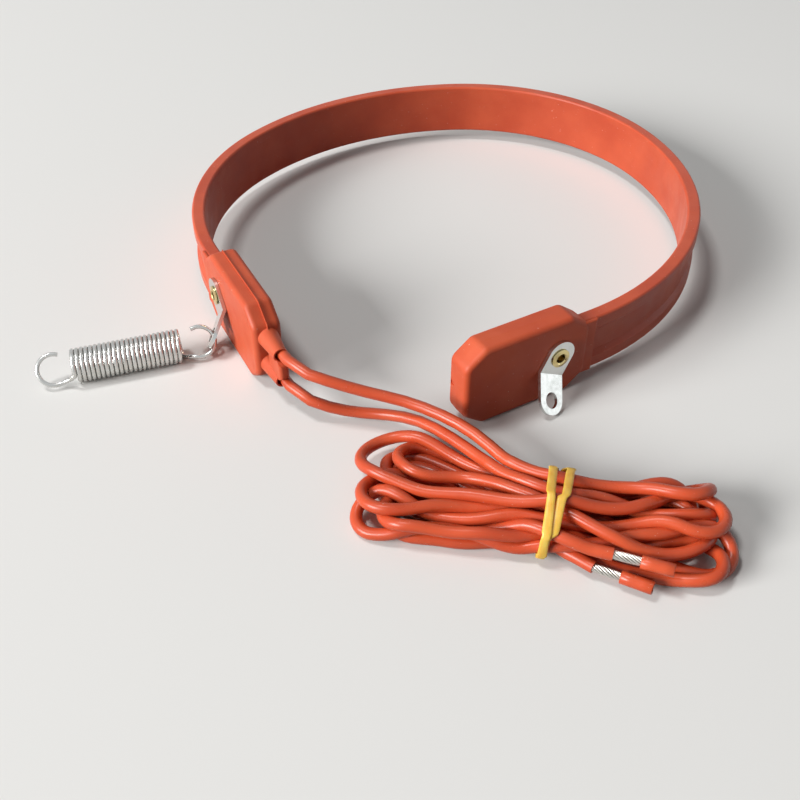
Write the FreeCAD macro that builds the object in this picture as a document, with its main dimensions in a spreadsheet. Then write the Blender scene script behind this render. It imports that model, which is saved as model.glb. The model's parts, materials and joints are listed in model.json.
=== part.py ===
import FreeCAD, Part
import math
import os
import re

import Sketcher
from FreeCAD import Placement, Rotation, Vector

# Silicone heating belt: a flat strip bent into an open ring, two moulded end blocks,
# two riveted tabs, an extension spring and two supply leads tied up in a hank.
# Millimetres, floor at z = 0, origin on the axis of the strip's longest bend.

SIZES = [
    ("belt_width", 14.0, "height of the strip as it stands on edge"),
    ("belt_thickness", 3.3, "strip, over the rails"),
    ("belt_edge_radius", 0.6, "rounded long edges of the strip"),
    ("rail_width", 3.0, "each rail that covers a heating run"),
    ("channel_depth", 0.9, "shallow channel between the rails"),
    ("channel_slope", 1.2, "width of each sloping channel wall"),
    ("belt_embed", 8.0, "straight end of the strip inside a block"),
    ("tail_azimuth", 30.2, "direction in which the strip leaves the tail block"),
    ("bend_radius_one", 65.7, "first and longest bend, inner face"),
    ("bend_radius_two", 52.4, "second bend"),
    ("bend_radius_three", 74.6, "third bend"),
    ("bend_radius_four", 56.3, "fourth bend"),
    ("bend_sweep_one", 85.0, "degrees"),
    ("bend_sweep_two", 70.0, "degrees"),
    ("bend_sweep_three", 49.0, "degrees"),
    ("bend_sweep_four", 63.0, "degrees"),
    ("heater_wire_diameter", 1.3, "heating wire with its sleeve"),
    ("heater_clearance", 0.1, "between the heating wire and its bore"),
    ("heater_turn_length", 13.0, "from the neck to the start of the turn in the tail"),
    ("heater_bend_radius", 2.9, "heating wire where it bends towards its crimp"),
    ("block_height", 20.0, "moulded end block"),
    ("block_length", 32.0, "octagon, without its neck"),
    ("block_chamfer_length", 4.8, "corner cut along the block"),
    ("block_chamfer_height", 3.6, "corner cut across the block"),
    ("block_cover", 0.9, "block over the outer face of the strip"),
    ("block_backing", 2.4, "block behind the inner face of the strip"),
    ("block_draft", 2.0, "degrees, each way from the parting line"),
    ("block_corner_radius", 2.4, "rounded corners of the octagon"),
    ("block_edge_radius", 1.2, "rounded rims of the two faces"),
    ("flash_height", 0.3, "thin rubber line left by the mould at the parting plane"),
    ("flash_thickness", 0.16, "same line, across the parting plane"),
    ("gate_diameter", 1.3, "shallow mark of the mould's gate in the tail end"),
    ("gate_depth", 0.35, "same mark"),
    ("neck_length", 2.0, "step between the strip and the octagon"),
    ("neck_rise", 0.6, "neck over the strip's rails"),
    ("neck_lap", 3.0, "neck inside the octagon"),
    ("neck_edge_radius", 0.4, "rounded rim of the neck"),
    ("eyelet_station", 10.4, "eyelet axis from the neck's start"),
    ("eyelet_rise", 1.2, "eyelet axis over the block's middle"),
    ("eyelet_bore", 2.2, "hole through the hollow rivet"),
    ("eyelet_wall", 0.3, "brass wall"),
    ("eyelet_flange", 4.4, "flange diameter"),
    ("eyelet_roll", 0.45, "thickness of the rolled flange"),
    ("washer_diameter", 5.2, "washer under the inner flange"),
    ("washer_thickness", 0.5, "washer"),
    ("rivet_clearance", 0.1, "running clearance at the eyelet and at its seats"),
    ("link_width", 6.8, "plated steel tab"),
    ("link_thickness", 0.8, "tab sheet"),
    ("link_top", 4.0, "eyelet axis to the rounded top"),
    ("link_drop", 4.4, "eyelet axis to the bend"),
    ("link_leg", 9.2, "bend to the rounded end"),
    ("link_bend", 38.0, "degrees outward"),
    ("link_hole", 3.6, "hole for the spring hook"),
    ("link_hole_station", 6.0, "bend to the hole"),
    ("link_end_radius", 3.3, "rounding of both ends"),
    ("tail_swivel", 27.0, "degrees from straight down, as it lies"),
    ("lead_swivel", 42.0, "degrees from straight down, as it lies"),
    ("spring_diameter", 8.0, "outside of the coil"),
    ("spring_wire", 1.0, "wire"),
    ("spring_turns", 25.0, "close wound turns"),
    ("hook_reach", 3.8, "coil end to the centre of a hook"),
    ("hook_root", 0.4, "start of a hook inside the end of the coil"),
    ("hook_sweep", 205.0, "degrees round each hook"),
    ("spring_azimuth", 18.3, "direction of the spring's axis"),
    ("spring_roll", 41.0, "degrees that the hooks lean back"),
    ("relief_spread", 7.0, "between the two strain relief stubs"),
    ("relief_root", 5.0, "stub diameter at the block"),
    ("relief_tip", 3.2, "stub diameter at its end"),
    ("relief_length", 7.0, "stub"),
    ("relief_sink", 1.5, "stub inside the block's end face"),
    ("web_thickness", 2.2, "tongue between the stubs"),
    ("web_start", 2.4, "window between the block and the tongue"),
    ("web_length", 8.8, "block to the tongue's tip"),
    ("web_tip", 3.4, "width of the tongue's tip"),
    ("lead_diameter", 2.5, "silicone supply lead"),
    ("lead_clearance", 0.05, "round a lead in its stub"),
    ("lead_exit", 4.6, "straight stretch of a lead past its stub"),
    ("crimp_length", 7.0, "crimp sleeve"),
    ("crimp_diameter", 2.4, "crimp sleeve"),
    ("crimp_groove", 0.25, "depth of the tool's marks"),
    ("crimp_setback", 2.0, "crimp to the block's end face"),
    ("crimp_bore_depth", 2.6, "heating wire inside the sleeve"),
    ("conductor_diameter", 1.1, "twisted tinned strands"),
    ("strand_length", 5.0, "bare strands at each stripped end"),
    ("slug_length", 6.0, "insulation left on the tip of each lead"),
    ("hank_azimuth", -12.0, "direction of the hank's axis"),
    ("band_width", 2.0, "rubber band, flat section"),
    ("band_thickness", 0.9, "rubber band"),
    ("band_tilt", 5.0, "degrees that the two turns lean apart"),
    ("band_step", 1.2, "each turn from the middle of the waist"),
    ("band_clearance", 0.5, "between the band and the tied leads"),
]

# The hank: station along its axis, half width, half height, sideways shift and lift.
HANK_SECTIONS = [
    ("hank_left_tip", 0.0, 8.5, 2.6, 0.0, 0.0),
    ("hank_left", 6.0, 13.0, 4.5, 1.5, 0.0),
    ("hank_mid_left", 21.0, 11.5, 5.5, 1.2, 0.0),
    ("hank_waist", 40.0, 9.2, 5.5, -2.8, 1.3),
    ("hank_mid_right", 54.0, 9.4, 5.4, -2.2, 0.2),
    ("hank_right", 70.0, 11.0, 4.6, 0.8, 0.0),
    ("hank_right_tip", 77.0, 7.5, 2.6, 1.0, 0.0),
]
HANK_START = (-19.0, -95.5, 0.2)

# Where the stripped ends come out of the hank, and their compass direction.
STRIPPED_ENDS = {
    "a": ((27.5, -117.6, 6.2), -24.0),
    "b": ((24.4, -114.8, 2.6), -32.0),
}

# Routes of the two leads outside the block, chosen by hand.
LEAD_A_ROUTE = [
    (-22.7, -74.6, 11.6),
    (-14.8, -76.0, 9.8),
    (-6.6, -77.6, 8.8),
    (1.0, -82.0, 8.8),
    (7.4, -87.6, 8.9),
    (12.6, -93.9, 8.0),
]
LEAD_B_ROUTE = [
    (-22.6, -74.0, 3.6),
    (-16.0, -74.2, 2.4),
    (-10.0, -75.6, 3.2),
    (-3.5, -79.9, 5.5),
    (3.0, -86.2, 6.2),
    (8.4, -92.2, 6.3),
]

# The strip's bends, in their order from the tail block.
BENDS = ("one", "two", "three", "four")

# Two lengths closer than this count as equal when edges are picked.
CLOSE = 1e-4

doc = FreeCAD.newDocument("HeatingBelt")
sheet = doc.addObject("Spreadsheet::Sheet", "Sizes")


def fill_sheet():
    rows = list(SIZES)
    for name, station, half_width, half_height, shift, lift in HANK_SECTIONS:
        rows.append((name + "_station", station, "along the hank's axis"))
        rows.append((name + "_half_width", half_width, "half width of the section"))
        rows.append((name + "_half_height", half_height, "half height of the section"))
        rows.append((name + "_shift", shift, "section's middle, sideways from the axis"))
        rows.append((name + "_lift", lift, "section's underside over the hank's start"))
    for number, (name, value, note) in enumerate(rows, 1):
        sheet.set("A%d" % number, name)
        sheet.set("B%d" % number, str(value))
        sheet.setAlias("B%d" % number, name)
        sheet.set("C%d" % number, note)
    doc.recompute()


fill_sheet()


def size(name):
    return float(sheet.get(name))


def bound(text):
    """Turns words of a formula that are sizes into references to the sheet."""
    return re.sub(r"[a-z]+(_[a-z]+)+", r"Sizes.\g<0>", text)


def worked_out(text):
    """The present number of a formula over the sheet."""
    return float(sheet.evalExpression(bound(text)))


def origin_plane(body, role):
    for feature in body.Origin.OriginFeatures:
        if feature.Role == role:
            return feature
    raise ValueError(role)


def new_body(label):
    body = doc.addObject("PartDesign::Body", label)
    body.Label = label
    return body


def new_sketch(body, name, role, height="0", turn=None):
    """A sketch on one of the body's own planes, lifted along that plane's normal."""
    sketch = body.newObject("Sketcher::SketchObject", name)
    sketch.AttachmentSupport = [(origin_plane(body, role), "")]
    sketch.MapMode = "FlatFace"
    if turn is not None:
        sketch.AttachmentOffset = turn
    if height != "0":
        sketch.setExpression("AttachmentOffset.Base.z", bound(height))
    return sketch


def fix_point(sketch, geometry, end, x, y):
    """Holds one end of a line at two formulas over the sheet."""
    for kind, formula in (("DistanceX", x), ("DistanceY", y)):
        index = sketch.addConstraint(
            Sketcher.Constraint(kind, -1, 1, geometry, end, worked_out(formula))
        )
        sketch.setExpression("Constraints[%d]" % index, bound(formula))


def outline(sketch, corners):
    """A closed outline, corners anticlockwise as (x, y) or (x, y, radius) formulas.

    A corner with a radius joins two edges that run along the sketch's axes.
    """
    spots = [Vector(worked_out(c[0]), worked_out(c[1]), 0) for c in corners]
    count = len(corners)
    arrive = []
    leave = []
    for i, corner in enumerate(corners):
        if len(corner) == 2:
            arrive.append((corner[0], corner[1]))
            leave.append((corner[0], corner[1]))
            continue
        back = (spots[i - 1] - spots[i]).normalize()
        ahead = (spots[(i + 1) % count] - spots[i]).normalize()
        for way, store in ((back, arrive), (ahead, leave)):
            store.append(
                (
                    "%s + ( %d ) * %s" % (corner[0], round(way.x), corner[2]),
                    "%s + ( %d ) * %s" % (corner[1], round(way.y), corner[2]),
                )
            )
    ends = [Vector(worked_out(x), worked_out(y), 0) for x, y in arrive]
    starts = [Vector(worked_out(x), worked_out(y), 0) for x, y in leave]
    for i in range(count):
        sketch.addGeometry(Part.LineSegment(starts[i], ends[(i + 1) % count]), False)
    for i in range(count):
        following = (i + 1) % count
        fix_point(sketch, i, 1, *leave[i])
        if len(corners[following]) == 2:
            sketch.addConstraint(Sketcher.Constraint("Coincident", i, 2, following, 1))
        else:
            fix_point(sketch, i, 2, *arrive[following])
    for i, corner in enumerate(corners):
        if len(corner) == 3:
            round_corner(sketch, ends[i], starts[i], spots[i], (i - 1) % count, i, corner[2])


def round_corner(sketch, start, end, spot, before, after, radius):
    """A quarter arc from the end of one outline edge to the start of the next."""
    centre = start + end - spot
    first = math.atan2(start.y - centre.y, start.x - centre.x)
    last = math.atan2(end.y - centre.y, end.x - centre.x)
    if last < first:
        last += 2 * math.pi
    circle = Part.Circle(centre, Vector(0, 0, 1), worked_out(radius))
    arc = sketch.addGeometry(Part.ArcOfCircle(circle, first, last), False)
    sketch.addConstraint(Sketcher.Constraint("Coincident", before, 2, arc, 1))
    sketch.addConstraint(Sketcher.Constraint("Coincident", arc, 2, after, 1))
    index = sketch.addConstraint(Sketcher.Constraint("Radius", arc, worked_out(radius)))
    sketch.setExpression("Constraints[%d]" % index, bound(radius))


def disc(sketch, x, y, radius):
    """A circle with its centre and radius bound to the sheet."""
    centre = Vector(worked_out(x), worked_out(y), 0)
    circle = sketch.addGeometry(Part.Circle(centre, Vector(0, 0, 1), worked_out(radius)), False)
    fix_point(sketch, circle, 3, x, y)
    index = sketch.addConstraint(Sketcher.Constraint("Radius", circle, worked_out(radius)))
    sketch.setExpression("Constraints[%d]" % index, bound(radius))


def sound(feature):
    """The feature itself, once its shape is known to be good."""
    if "Invalid" in feature.State or feature.Shape.isNull() or not feature.Shape.isValid():
        raise ValueError(feature.Name + " failed: " + feature.getStatusString())
    return feature


def pad(body, name, sketch, length, backwards=False, symmetric=False, taper=None):
    feature = body.newObject("PartDesign::Pad", name)
    feature.Profile = sketch
    feature.Reversed = backwards
    if symmetric:
        feature.SideType = "Symmetric"
    feature.setExpression("Length", bound(length))
    if taper is not None:
        feature.setExpression("TaperAngle", bound(taper))
    doc.recompute()
    return sound(feature)


def pocket(body, name, sketch, length=None, backwards=False):
    """A cut to a stated depth, or right through both ways where no depth is given."""
    before = body.Tip.Shape.Volume
    feature = body.newObject("PartDesign::Pocket", name)
    feature.Profile = sketch
    feature.Reversed = backwards
    if length is None:
        feature.Type = "ThroughAll"
        feature.SideType = "Symmetric"
    else:
        feature.setExpression("Length", bound(length))
    doc.recompute()
    if sound(feature).Shape.Volume > before - 1e-3:
        raise ValueError(name + " cuts nothing")
    return feature


def edges_where(shape, test):
    """Names of the edges whose points, both ends and the middle, pass a test."""
    names = []
    for number, edge in enumerate(shape.Edges, 1):
        points = [vertex.Point for vertex in edge.Vertexes] + [edge.CenterOfMass]
        if test(points):
            names.append("Edge%d" % number)
    return names


def fillet(body, name, test, radius):
    base = body.Tip
    feature = body.newObject("PartDesign::Fillet", name)
    feature.Base = (base, edges_where(base.Shape, test))
    feature.setExpression("Radius", bound(radius))
    doc.recompute()
    return sound(feature)


# The strip

def strip_section(sketch, outward, with_wires):
    """Section of the strip: flat inner face on the sketch's Y axis, rails outward.

    outward is +1 or -1, the side of the sketch's X axis that the rails face.
    """
    half = "belt_width / 2"
    deep = "( %d ) * belt_thickness" % outward
    floor = "( %d ) * ( belt_thickness - channel_depth )" % outward
    mouth = "( belt_width / 2 - rail_width )"
    foot = "( belt_width / 2 - rail_width - channel_slope )"
    corners = [
        ("0", "-" + half, "belt_edge_radius"),
        (deep, "-" + half, "belt_edge_radius"),
        (deep, "-" + mouth),
        (floor, "-" + foot),
        (floor, foot),
        (deep, mouth),
        (deep, half, "belt_edge_radius"),
        ("0", half, "belt_edge_radius"),
    ]
    if outward < 0:
        corners.reverse()
    outline(sketch, corners)
    if with_wires:
        for sign in ("", "-"):
            disc(
                sketch,
                "( %d ) * belt_thickness / 2" % outward,
                sign + "( belt_width / 2 - rail_width / 2 )",
                "heater_wire_diameter / 2 + heater_clearance",
            )


def bend_path(sketch, offset):
    """Ring of four tangent bends between two straight ends, offset outward."""
    point = Vector(0, 0, 0)
    heading = 0.0
    ends = worked_out("belt_embed")
    sketch.addGeometry(Part.LineSegment(point, Vector(ends, 0, 0)), False)
    point = Vector(ends, 0, 0)
    for word in BENDS:
        radius = worked_out("bend_radius_%s + %s" % (word, offset))
        sweep = math.radians(size("bend_sweep_" + word))
        centre = point + Vector(-math.sin(heading), math.cos(heading), 0) * radius
        circle = Part.Circle(centre, Vector(0, 0, 1), radius)
        start = heading - math.pi / 2
        sketch.addGeometry(Part.ArcOfCircle(circle, start, start + sweep), False)
        heading += sweep
        point = centre + Vector(math.sin(heading), -math.cos(heading), 0) * radius
    way = Vector(math.cos(heading), math.sin(heading), 0)
    sketch.addGeometry(Part.LineSegment(point, point + way * ends), False)
    last = len(BENDS) + 1
    for edge in range(last):
        sketch.addConstraint(Sketcher.Constraint("Tangent", edge, 2, edge + 1, 1))
    sketch.addConstraint(Sketcher.Constraint("Horizontal", 0))
    fix_point(sketch, 0, 1, "0", offset + " * ( -1 )" if offset != "0" else "0")
    for edge in (0, last):
        index = sketch.addConstraint(Sketcher.Constraint("Distance", edge, ends))
        sketch.setExpression("Constraints[%d]" % index, bound("belt_embed"))
    for edge, word in enumerate(BENDS, 1):
        formula = "bend_radius_%s + %s" % (word, offset)
        index = sketch.addConstraint(Sketcher.Constraint("Radius", edge, worked_out(formula)))
        sketch.setExpression("Constraints[%d]" % index, bound(formula))
        sweep = math.radians(size("bend_sweep_" + word))
        index = sketch.addConstraint(Sketcher.Constraint("Angle", edge, sweep))
        sketch.setExpression("Constraints[%d]" % index, bound("bend_sweep_" + word))


def strip_frame():
    """The strip's own frame: X along its tail end, first bend centred on the origin."""
    turn = Rotation(Vector(0, 0, 1), size("tail_azimuth"))
    start = turn.multVec(Vector(size("belt_embed"), size("bend_radius_one"), 0))
    return Placement(Vector(-start.x, -start.y, size("block_height") / 2), turn)


def make_belt():
    body = new_body("belt")
    path = new_sketch(body, "belt_path", "XY_Plane")
    bend_path(path, "0")
    section = new_sketch(body, "belt_section", "YZ_Plane")
    strip_section(section, -1, True)
    doc.recompute()
    sweep = body.newObject("PartDesign::AdditivePipe", "belt_sweep")
    sweep.Profile = section
    sweep.Spine = (path, ["Edge%d" % (n + 1) for n in range(len(BENDS) + 2)])
    body.Placement = strip_frame()
    doc.recompute()
    return body


belt = make_belt()


def end_frame(which):
    """Frame of an end block: X from the neck to the free end, Z up."""
    azimuth = size("tail_azimuth")
    point = Vector(0, 0, 0)
    if which == "tail":
        turn = Rotation(Vector(0, 0, 1), azimuth)
        point = turn.multVec(Vector(0, -size("bend_radius_one"), 0))
        facing = azimuth + 180.0
    else:
        previous = None
        for word in BENDS:
            radius = size("bend_radius_" + word)
            out = Vector(math.sin(math.radians(azimuth)), -math.cos(math.radians(azimuth)), 0)
            if previous is not None:
                point = point + out * (previous - radius)
            previous = radius
            azimuth += size("bend_sweep_" + word)
        out = Vector(math.sin(math.radians(azimuth)), -math.cos(math.radians(azimuth)), 0)
        point = point + out * previous
        facing = azimuth
    point.z = size("block_height") / 2
    return Placement(point, Rotation(Vector(0, 0, 1), facing))


# The moulded end blocks


NEAR = "neck_length"
FAR = "( neck_length + block_length )"
TOP = "block_height / 2"


def octagon():
    """Corners of the block's outline in its own frame."""
    return [
        (NEAR + " + block_chamfer_length", "-" + TOP),
        (FAR + " - block_chamfer_length", "-" + TOP),
        (FAR, "-" + TOP + " + block_chamfer_height"),
        (FAR, TOP + " - block_chamfer_height"),
        (FAR + " - block_chamfer_length", TOP),
        (NEAR + " + block_chamfer_length", TOP),
        (NEAR, TOP + " - block_chamfer_height"),
        (NEAR, "-" + TOP + " + block_chamfer_height"),
    ]


def spread(points):
    """How far the points of an edge reach across the block."""
    return max(p.y for p in points) - min(p.y for p in points)


def add_neck(body, which, side):
    """Low step on the outer face where the strip runs into the block."""
    neck = new_sketch(body, which + "_neck_outline", "XZ_Plane", "( %d ) * belt_thickness" % -side)
    lap = "neck_length + neck_lap"
    half = "belt_width / 2"
    outline(neck, [("0", "-" + half), (lap, "-" + half), (lap, half), ("0", half)])
    pad(body, which + "_neck", neck, "neck_rise", backwards=side > 0)
    level = side * worked_out("belt_thickness + neck_rise")
    fillet(
        body,
        which + "_neck_rim",
        lambda points: all(abs(p.y - level) < CLOSE for p in points)
        and min(p.x for p in points) < CLOSE,
        "neck_edge_radius",
    )


def add_flash(body, split):
    """Thin line of rubber along the parting plane, over the top and down to the stub."""
    line = new_sketch(body, "flash_outline", "XZ_Plane", split)
    crest = "( block_height / 2 + flash_height )"
    reach = FAR + " + flash_height"
    begin = NEAR + " + block_chamfer_length"
    outline(
        line,
        [
            (begin, "0"),
            (reach, "relief_spread / 2"),
            (reach, crest + " - block_chamfer_height"),
            (reach + " - block_chamfer_length", crest),
            (begin, crest),
        ],
    )
    pad(body, "flash", line, "flash_thickness", symmetric=True)
    thin = size("flash_thickness")
    middle = size("block_length") / 2
    fillet(
        body,
        "flash_corners",
        lambda points: abs(spread(points) - thin) < CLOSE
        and all(p.x > middle and p.z > size("relief_spread") for p in points),
        "block_corner_radius + flash_height",
    )


def add_gate_mark(body, split):
    """Shallow round mark in the free end, where the mould was filled."""
    mark = new_sketch(body, "gate_outline", "YZ_Plane", FAR)
    disc(mark, split, "0", "gate_diameter / 2")
    pocket(body, "gate_mark", mark, "gate_depth")


def make_block(which):
    """Octagonal overmoulding. side is +1 where local +Y points out of the ring."""
    side = 1 if which == "tail" else -1
    body = new_body(which + "_form")
    split = "( %d ) * ( block_backing - block_cover - belt_thickness ) / 2" % side
    depth = "( block_backing + block_cover + belt_thickness ) / 2"
    face = new_sketch(body, which + "_octagon", "XZ_Plane", split)
    outline(face, octagon())
    pad(body, which + "_outer_half", face, depth, backwards=side > 0, taper="-1 * block_draft")
    pad(body, which + "_inner_half", face, depth, backwards=side < 0, taper="-1 * block_draft")
    outer = side * (size("belt_thickness") + size("block_cover"))
    inner = -side * size("block_backing")
    fillet(body, which + "_corners", lambda points: spread(points) > CLOSE, "block_corner_radius")
    fillet(
        body,
        which + "_rims",
        lambda points: all(min(abs(p.y - outer), abs(p.y - inner)) < CLOSE for p in points),
        "block_edge_radius",
    )
    if which == "lead":
        add_flash(body, split)
    add_neck(body, which, side)
    slot = new_sketch(body, which + "_slot", "YZ_Plane")
    strip_section(slot, side, False)
    pocket(body, which + "_strip_seat", slot, "belt_embed", backwards=True)
    hole = new_sketch(body, which + "_rivet_hole", "XZ_Plane")
    barrel = "eyelet_bore / 2 + eyelet_wall + rivet_clearance"
    disc(hole, "eyelet_station", "eyelet_rise", barrel)
    pocket(body, which + "_rivet_bore", hole)
    seat = new_sketch(body, which + "_washer_seat", "XZ_Plane", "( %d ) * block_backing" % side)
    disc(seat, "eyelet_station", "eyelet_rise", "washer_diameter / 2 + rivet_clearance")
    sunk = "washer_thickness + eyelet_roll + rivet_clearance"
    pocket(body, which + "_washer_sink", seat, sunk, backwards=side < 0)
    if which == "lead":
        add_strain_relief(body)
    else:
        add_gate_mark(body, split)
    body.Placement = end_frame(which)
    doc.recompute()
    return body


def add_strain_relief(body):
    """Two tapered stubs, one for each lead, and the tongue moulded between them."""
    middle = "( belt_thickness + block_cover - block_backing ) / 2"
    far = "neck_length + block_length"
    for word, sign in (("upper", "1"), ("lower", "-1")):
        stub = body.newObject("PartDesign::AdditiveCone", word + "_stub")
        stub.AttachmentSupport = [(origin_plane(body, "YZ_Plane"), "")]
        stub.MapMode = "FlatFace"
        stub.setExpression("Radius1", bound("relief_root / 2"))
        stub.setExpression("Radius2", bound("relief_tip / 2"))
        stub.setExpression("Height", bound("relief_length + relief_sink"))
        stub.setExpression("AttachmentOffset.Base.x", bound("-1 * " + middle))
        stub.setExpression("AttachmentOffset.Base.y", bound(sign + " * relief_spread / 2"))
        stub.setExpression("AttachmentOffset.Base.z", bound(far + " - relief_sink"))
        doc.recompute()
    tongue = new_sketch(body, "tongue_outline", "XZ_Plane", middle)
    root = far + " + web_start"
    shoulder = far + " + relief_length - web_start / 2"
    tip = far + " + web_length"
    wide = "relief_spread / 2"
    outline(
        tongue,
        [
            (root, "-" + wide),
            (shoulder, "-" + wide),
            (tip, "-1 * web_tip / 2"),
            (tip, "web_tip / 2"),
            (shoulder, wide),
            (root, wide),
        ],
    )
    pad(body, "tongue", tongue, "web_thickness", symmetric=True)
    end = worked_out(tip)
    fillet(
        body,
        "tongue_tip",
        lambda points: all(abs(p.x - end) < CLOSE for p in points),
        "web_thickness / 3",
    )


tail_frame = end_frame("tail")
lead_frame = end_frame("lead")
tail_form = make_block("tail")
lead_form = make_block("lead")


# Wires and leads as round tubes on straight runs joined by tangent arcs


# Share of the shorter run that the arc at a corner takes.
RUN_SHARE = 0.45


def corner_arc(before, corner, after, radius):
    """Tangent points and mid point of the arc that rounds one corner of a route."""
    back = (before - corner).normalize()
    ahead = (after - corner).normalize()
    half = back.getAngle(ahead) / 2
    setback = radius / math.tan(half)
    inward = (back + ahead).normalize()
    middle = corner + inward * (radius / math.sin(half) - radius)
    return corner + back * setback, middle, corner + ahead * setback


def tube(points, diameter, name):
    """Round tube along a route, each corner rounded as far as its two runs allow."""
    edges = []
    start = points[0]
    used = []
    for i in range(1, len(points) - 1):
        shorter = min((points[i] - points[i - 1]).Length, (points[i + 1] - points[i]).Length)
        turn = math.pi - (points[i - 1] - points[i]).getAngle(points[i + 1] - points[i])
        radius = RUN_SHARE * shorter / math.tan(turn / 2)
        used.append(radius)
        first, middle, last = corner_arc(points[i - 1], points[i], points[i + 1], radius)
        edges.append(Part.LineSegment(start, first).toShape())
        edges.append(Part.Arc(first, middle, last).toShape())
        start = last
    edges.append(Part.LineSegment(start, points[-1]).toShape())
    path = Part.Wire(edges)
    heading = (points[1] - points[0]).normalize()
    ring = Part.Wire([Part.Circle(points[0], heading, diameter / 2).toShape()])
    solid = path.makePipeShell([ring], True, False)
    ideal = math.pi * diameter ** 2 / 4 * path.Length
    print(
        "%s: length %.1f, volume / ideal %.4f, radii %s"
        % (name, path.Length, solid.Volume / ideal, [round(r, 1) for r in used])
    )
    return solid


def feature_from(label, shape, placement=None):
    feature = doc.addObject("Part::Feature", label)
    feature.Label = label
    feature.Shape = shape
    if placement is not None:
        feature.Placement = placement
    return feature


def block_middle(side):
    """Local Y of a block's parting plane, the line of the leads."""
    return side * (size("belt_thickness") + size("block_cover") - size("block_backing")) / 2


def run_height():
    return size("belt_width") / 2 - size("rail_width") / 2


def crimp_start():
    return (
        size("neck_length")
        + size("block_length")
        - size("crimp_setback")
        - size("crimp_length")
    )


def lead_branch(sign):
    """Route of one heating run inside the lead block, from the strip into the crimp."""
    outward = -size("belt_thickness") / 2
    level = sign * run_height()
    stub = sign * size("relief_spread") / 2
    begin = size("belt_embed")
    into = crimp_start() + size("crimp_bore_depth")
    bend = (crimp_start() - begin) / 3
    return [
        Vector(begin, outward, level),
        Vector(begin + bend, outward, level),
        Vector(crimp_start() - bend, block_middle(-1), stub),
        Vector(into, block_middle(-1), stub),
    ]


def tail_turn():
    """Edges of the heating wire's turn inside the tail block, as a wire."""
    outward = size("belt_thickness") / 2
    level = run_height()
    begin = size("belt_embed")
    far = size("heater_turn_length")
    return Part.Wire(
        [
            Part.LineSegment(Vector(begin, outward, level), Vector(far, outward, level)).toShape(),
            Part.Arc(
                Vector(far, outward, level),
                Vector(far + level, outward, 0),
                Vector(far, outward, -level),
            ).toShape(),
            Part.LineSegment(Vector(far, outward, -level), Vector(begin, outward, -level)).toShape(),
        ]
    )


def rounded_route(points):
    """Wire of straight runs and tangent arcs over a short route inside a block."""
    edges = []
    start = points[0]
    for i in range(1, len(points) - 1):
        bend = size("heater_bend_radius")
        first, middle, last = corner_arc(points[i - 1], points[i], points[i + 1], bend)
        edges.append(Part.LineSegment(start, first).toShape())
        edges.append(Part.Arc(first, middle, last).toShape())
        start = last
    edges.append(Part.LineSegment(start, points[-1]).toShape())
    return Part.Wire(edges)


def pipe(path, diameter):
    """Round pipe along a smooth wire."""
    edge = path.OrderedEdges[0]
    start = edge.valueAt(edge.FirstParameter)
    heading = edge.tangentAt(edge.FirstParameter)
    if (start - path.OrderedVertexes[0].Point).Length > 1e-6:
        start = edge.valueAt(edge.LastParameter)
        heading = edge.tangentAt(edge.LastParameter)
    ring = Part.Wire([Part.Circle(start, heading, diameter / 2).toShape()])
    return path.makePipeShell([ring], True, False)


def moved(wire, placement):
    copy = wire.copy()
    copy.transformShape(placement.toMatrix(), True)
    return copy


def ring_run(level):
    """Line of one heating run round the ring, in the model's own frame."""
    edges = []
    turn = Rotation(Vector(0, 0, 1), size("tail_azimuth"))
    out = turn.multVec(Vector(0, -1, 0))
    along = turn.multVec(Vector(1, 0, 0))
    depth = size("belt_thickness") / 2
    height = size("block_height") / 2 + level
    point = out * (size("bend_radius_one") + depth)
    point.z = height
    edges.append(Part.LineSegment(point - along * size("belt_embed"), point).toShape())
    for word in BENDS:
        radius = size("bend_radius_" + word) + depth
        sweep = size("bend_sweep_" + word)
        centre = point - out * radius
        half = Rotation(Vector(0, 0, 1), sweep / 2).multVec(out)
        full = Rotation(Vector(0, 0, 1), sweep).multVec(out)
        edges.append(Part.Arc(point, centre + half * radius, centre + full * radius).toShape())
        out = full
        point = centre + full * radius
    along = Rotation(Vector(0, 0, 1), 90).multVec(out)
    edges.append(Part.LineSegment(point, point + along * size("belt_embed")).toShape())
    return edges


def heating_route():
    """One continuous line: crimp, upper run, turn in the tail block, lower run, crimp."""
    upper = moved(rounded_route(lead_branch(1)), lead_frame)
    lower = moved(rounded_route(lead_branch(-1)), lead_frame)
    turn = moved(tail_turn(), tail_frame)
    edges = upper.Edges + turn.Edges + lower.Edges
    edges += ring_run(run_height()) + ring_run(-run_height())
    return Part.Wire(Part.sortEdges(edges)[0])


heating_wire = feature_from("heating_wire", pipe(heating_route(), size("heater_wire_diameter")))


def cavity(label, shapes):
    """Space that an overmoulded piece keeps free inside its block."""
    solid = shapes[0]
    for shape in shapes[1:]:
        solid = solid.fuse(shape)
    return feature_from(label, solid)


def cut_block(label, form, tool):
    cut = doc.addObject("Part::Cut", label)
    cut.Label = label
    cut.Base = form
    cut.Tool = tool
    doc.recompute()
    return cut


bore = size("heater_wire_diameter") + 2 * size("heater_clearance")
tail_cavity = cavity("tail_cavity", [moved(pipe(tail_turn(), bore), tail_frame)])
tail_block = cut_block("tail_block", tail_form, tail_cavity)


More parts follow.
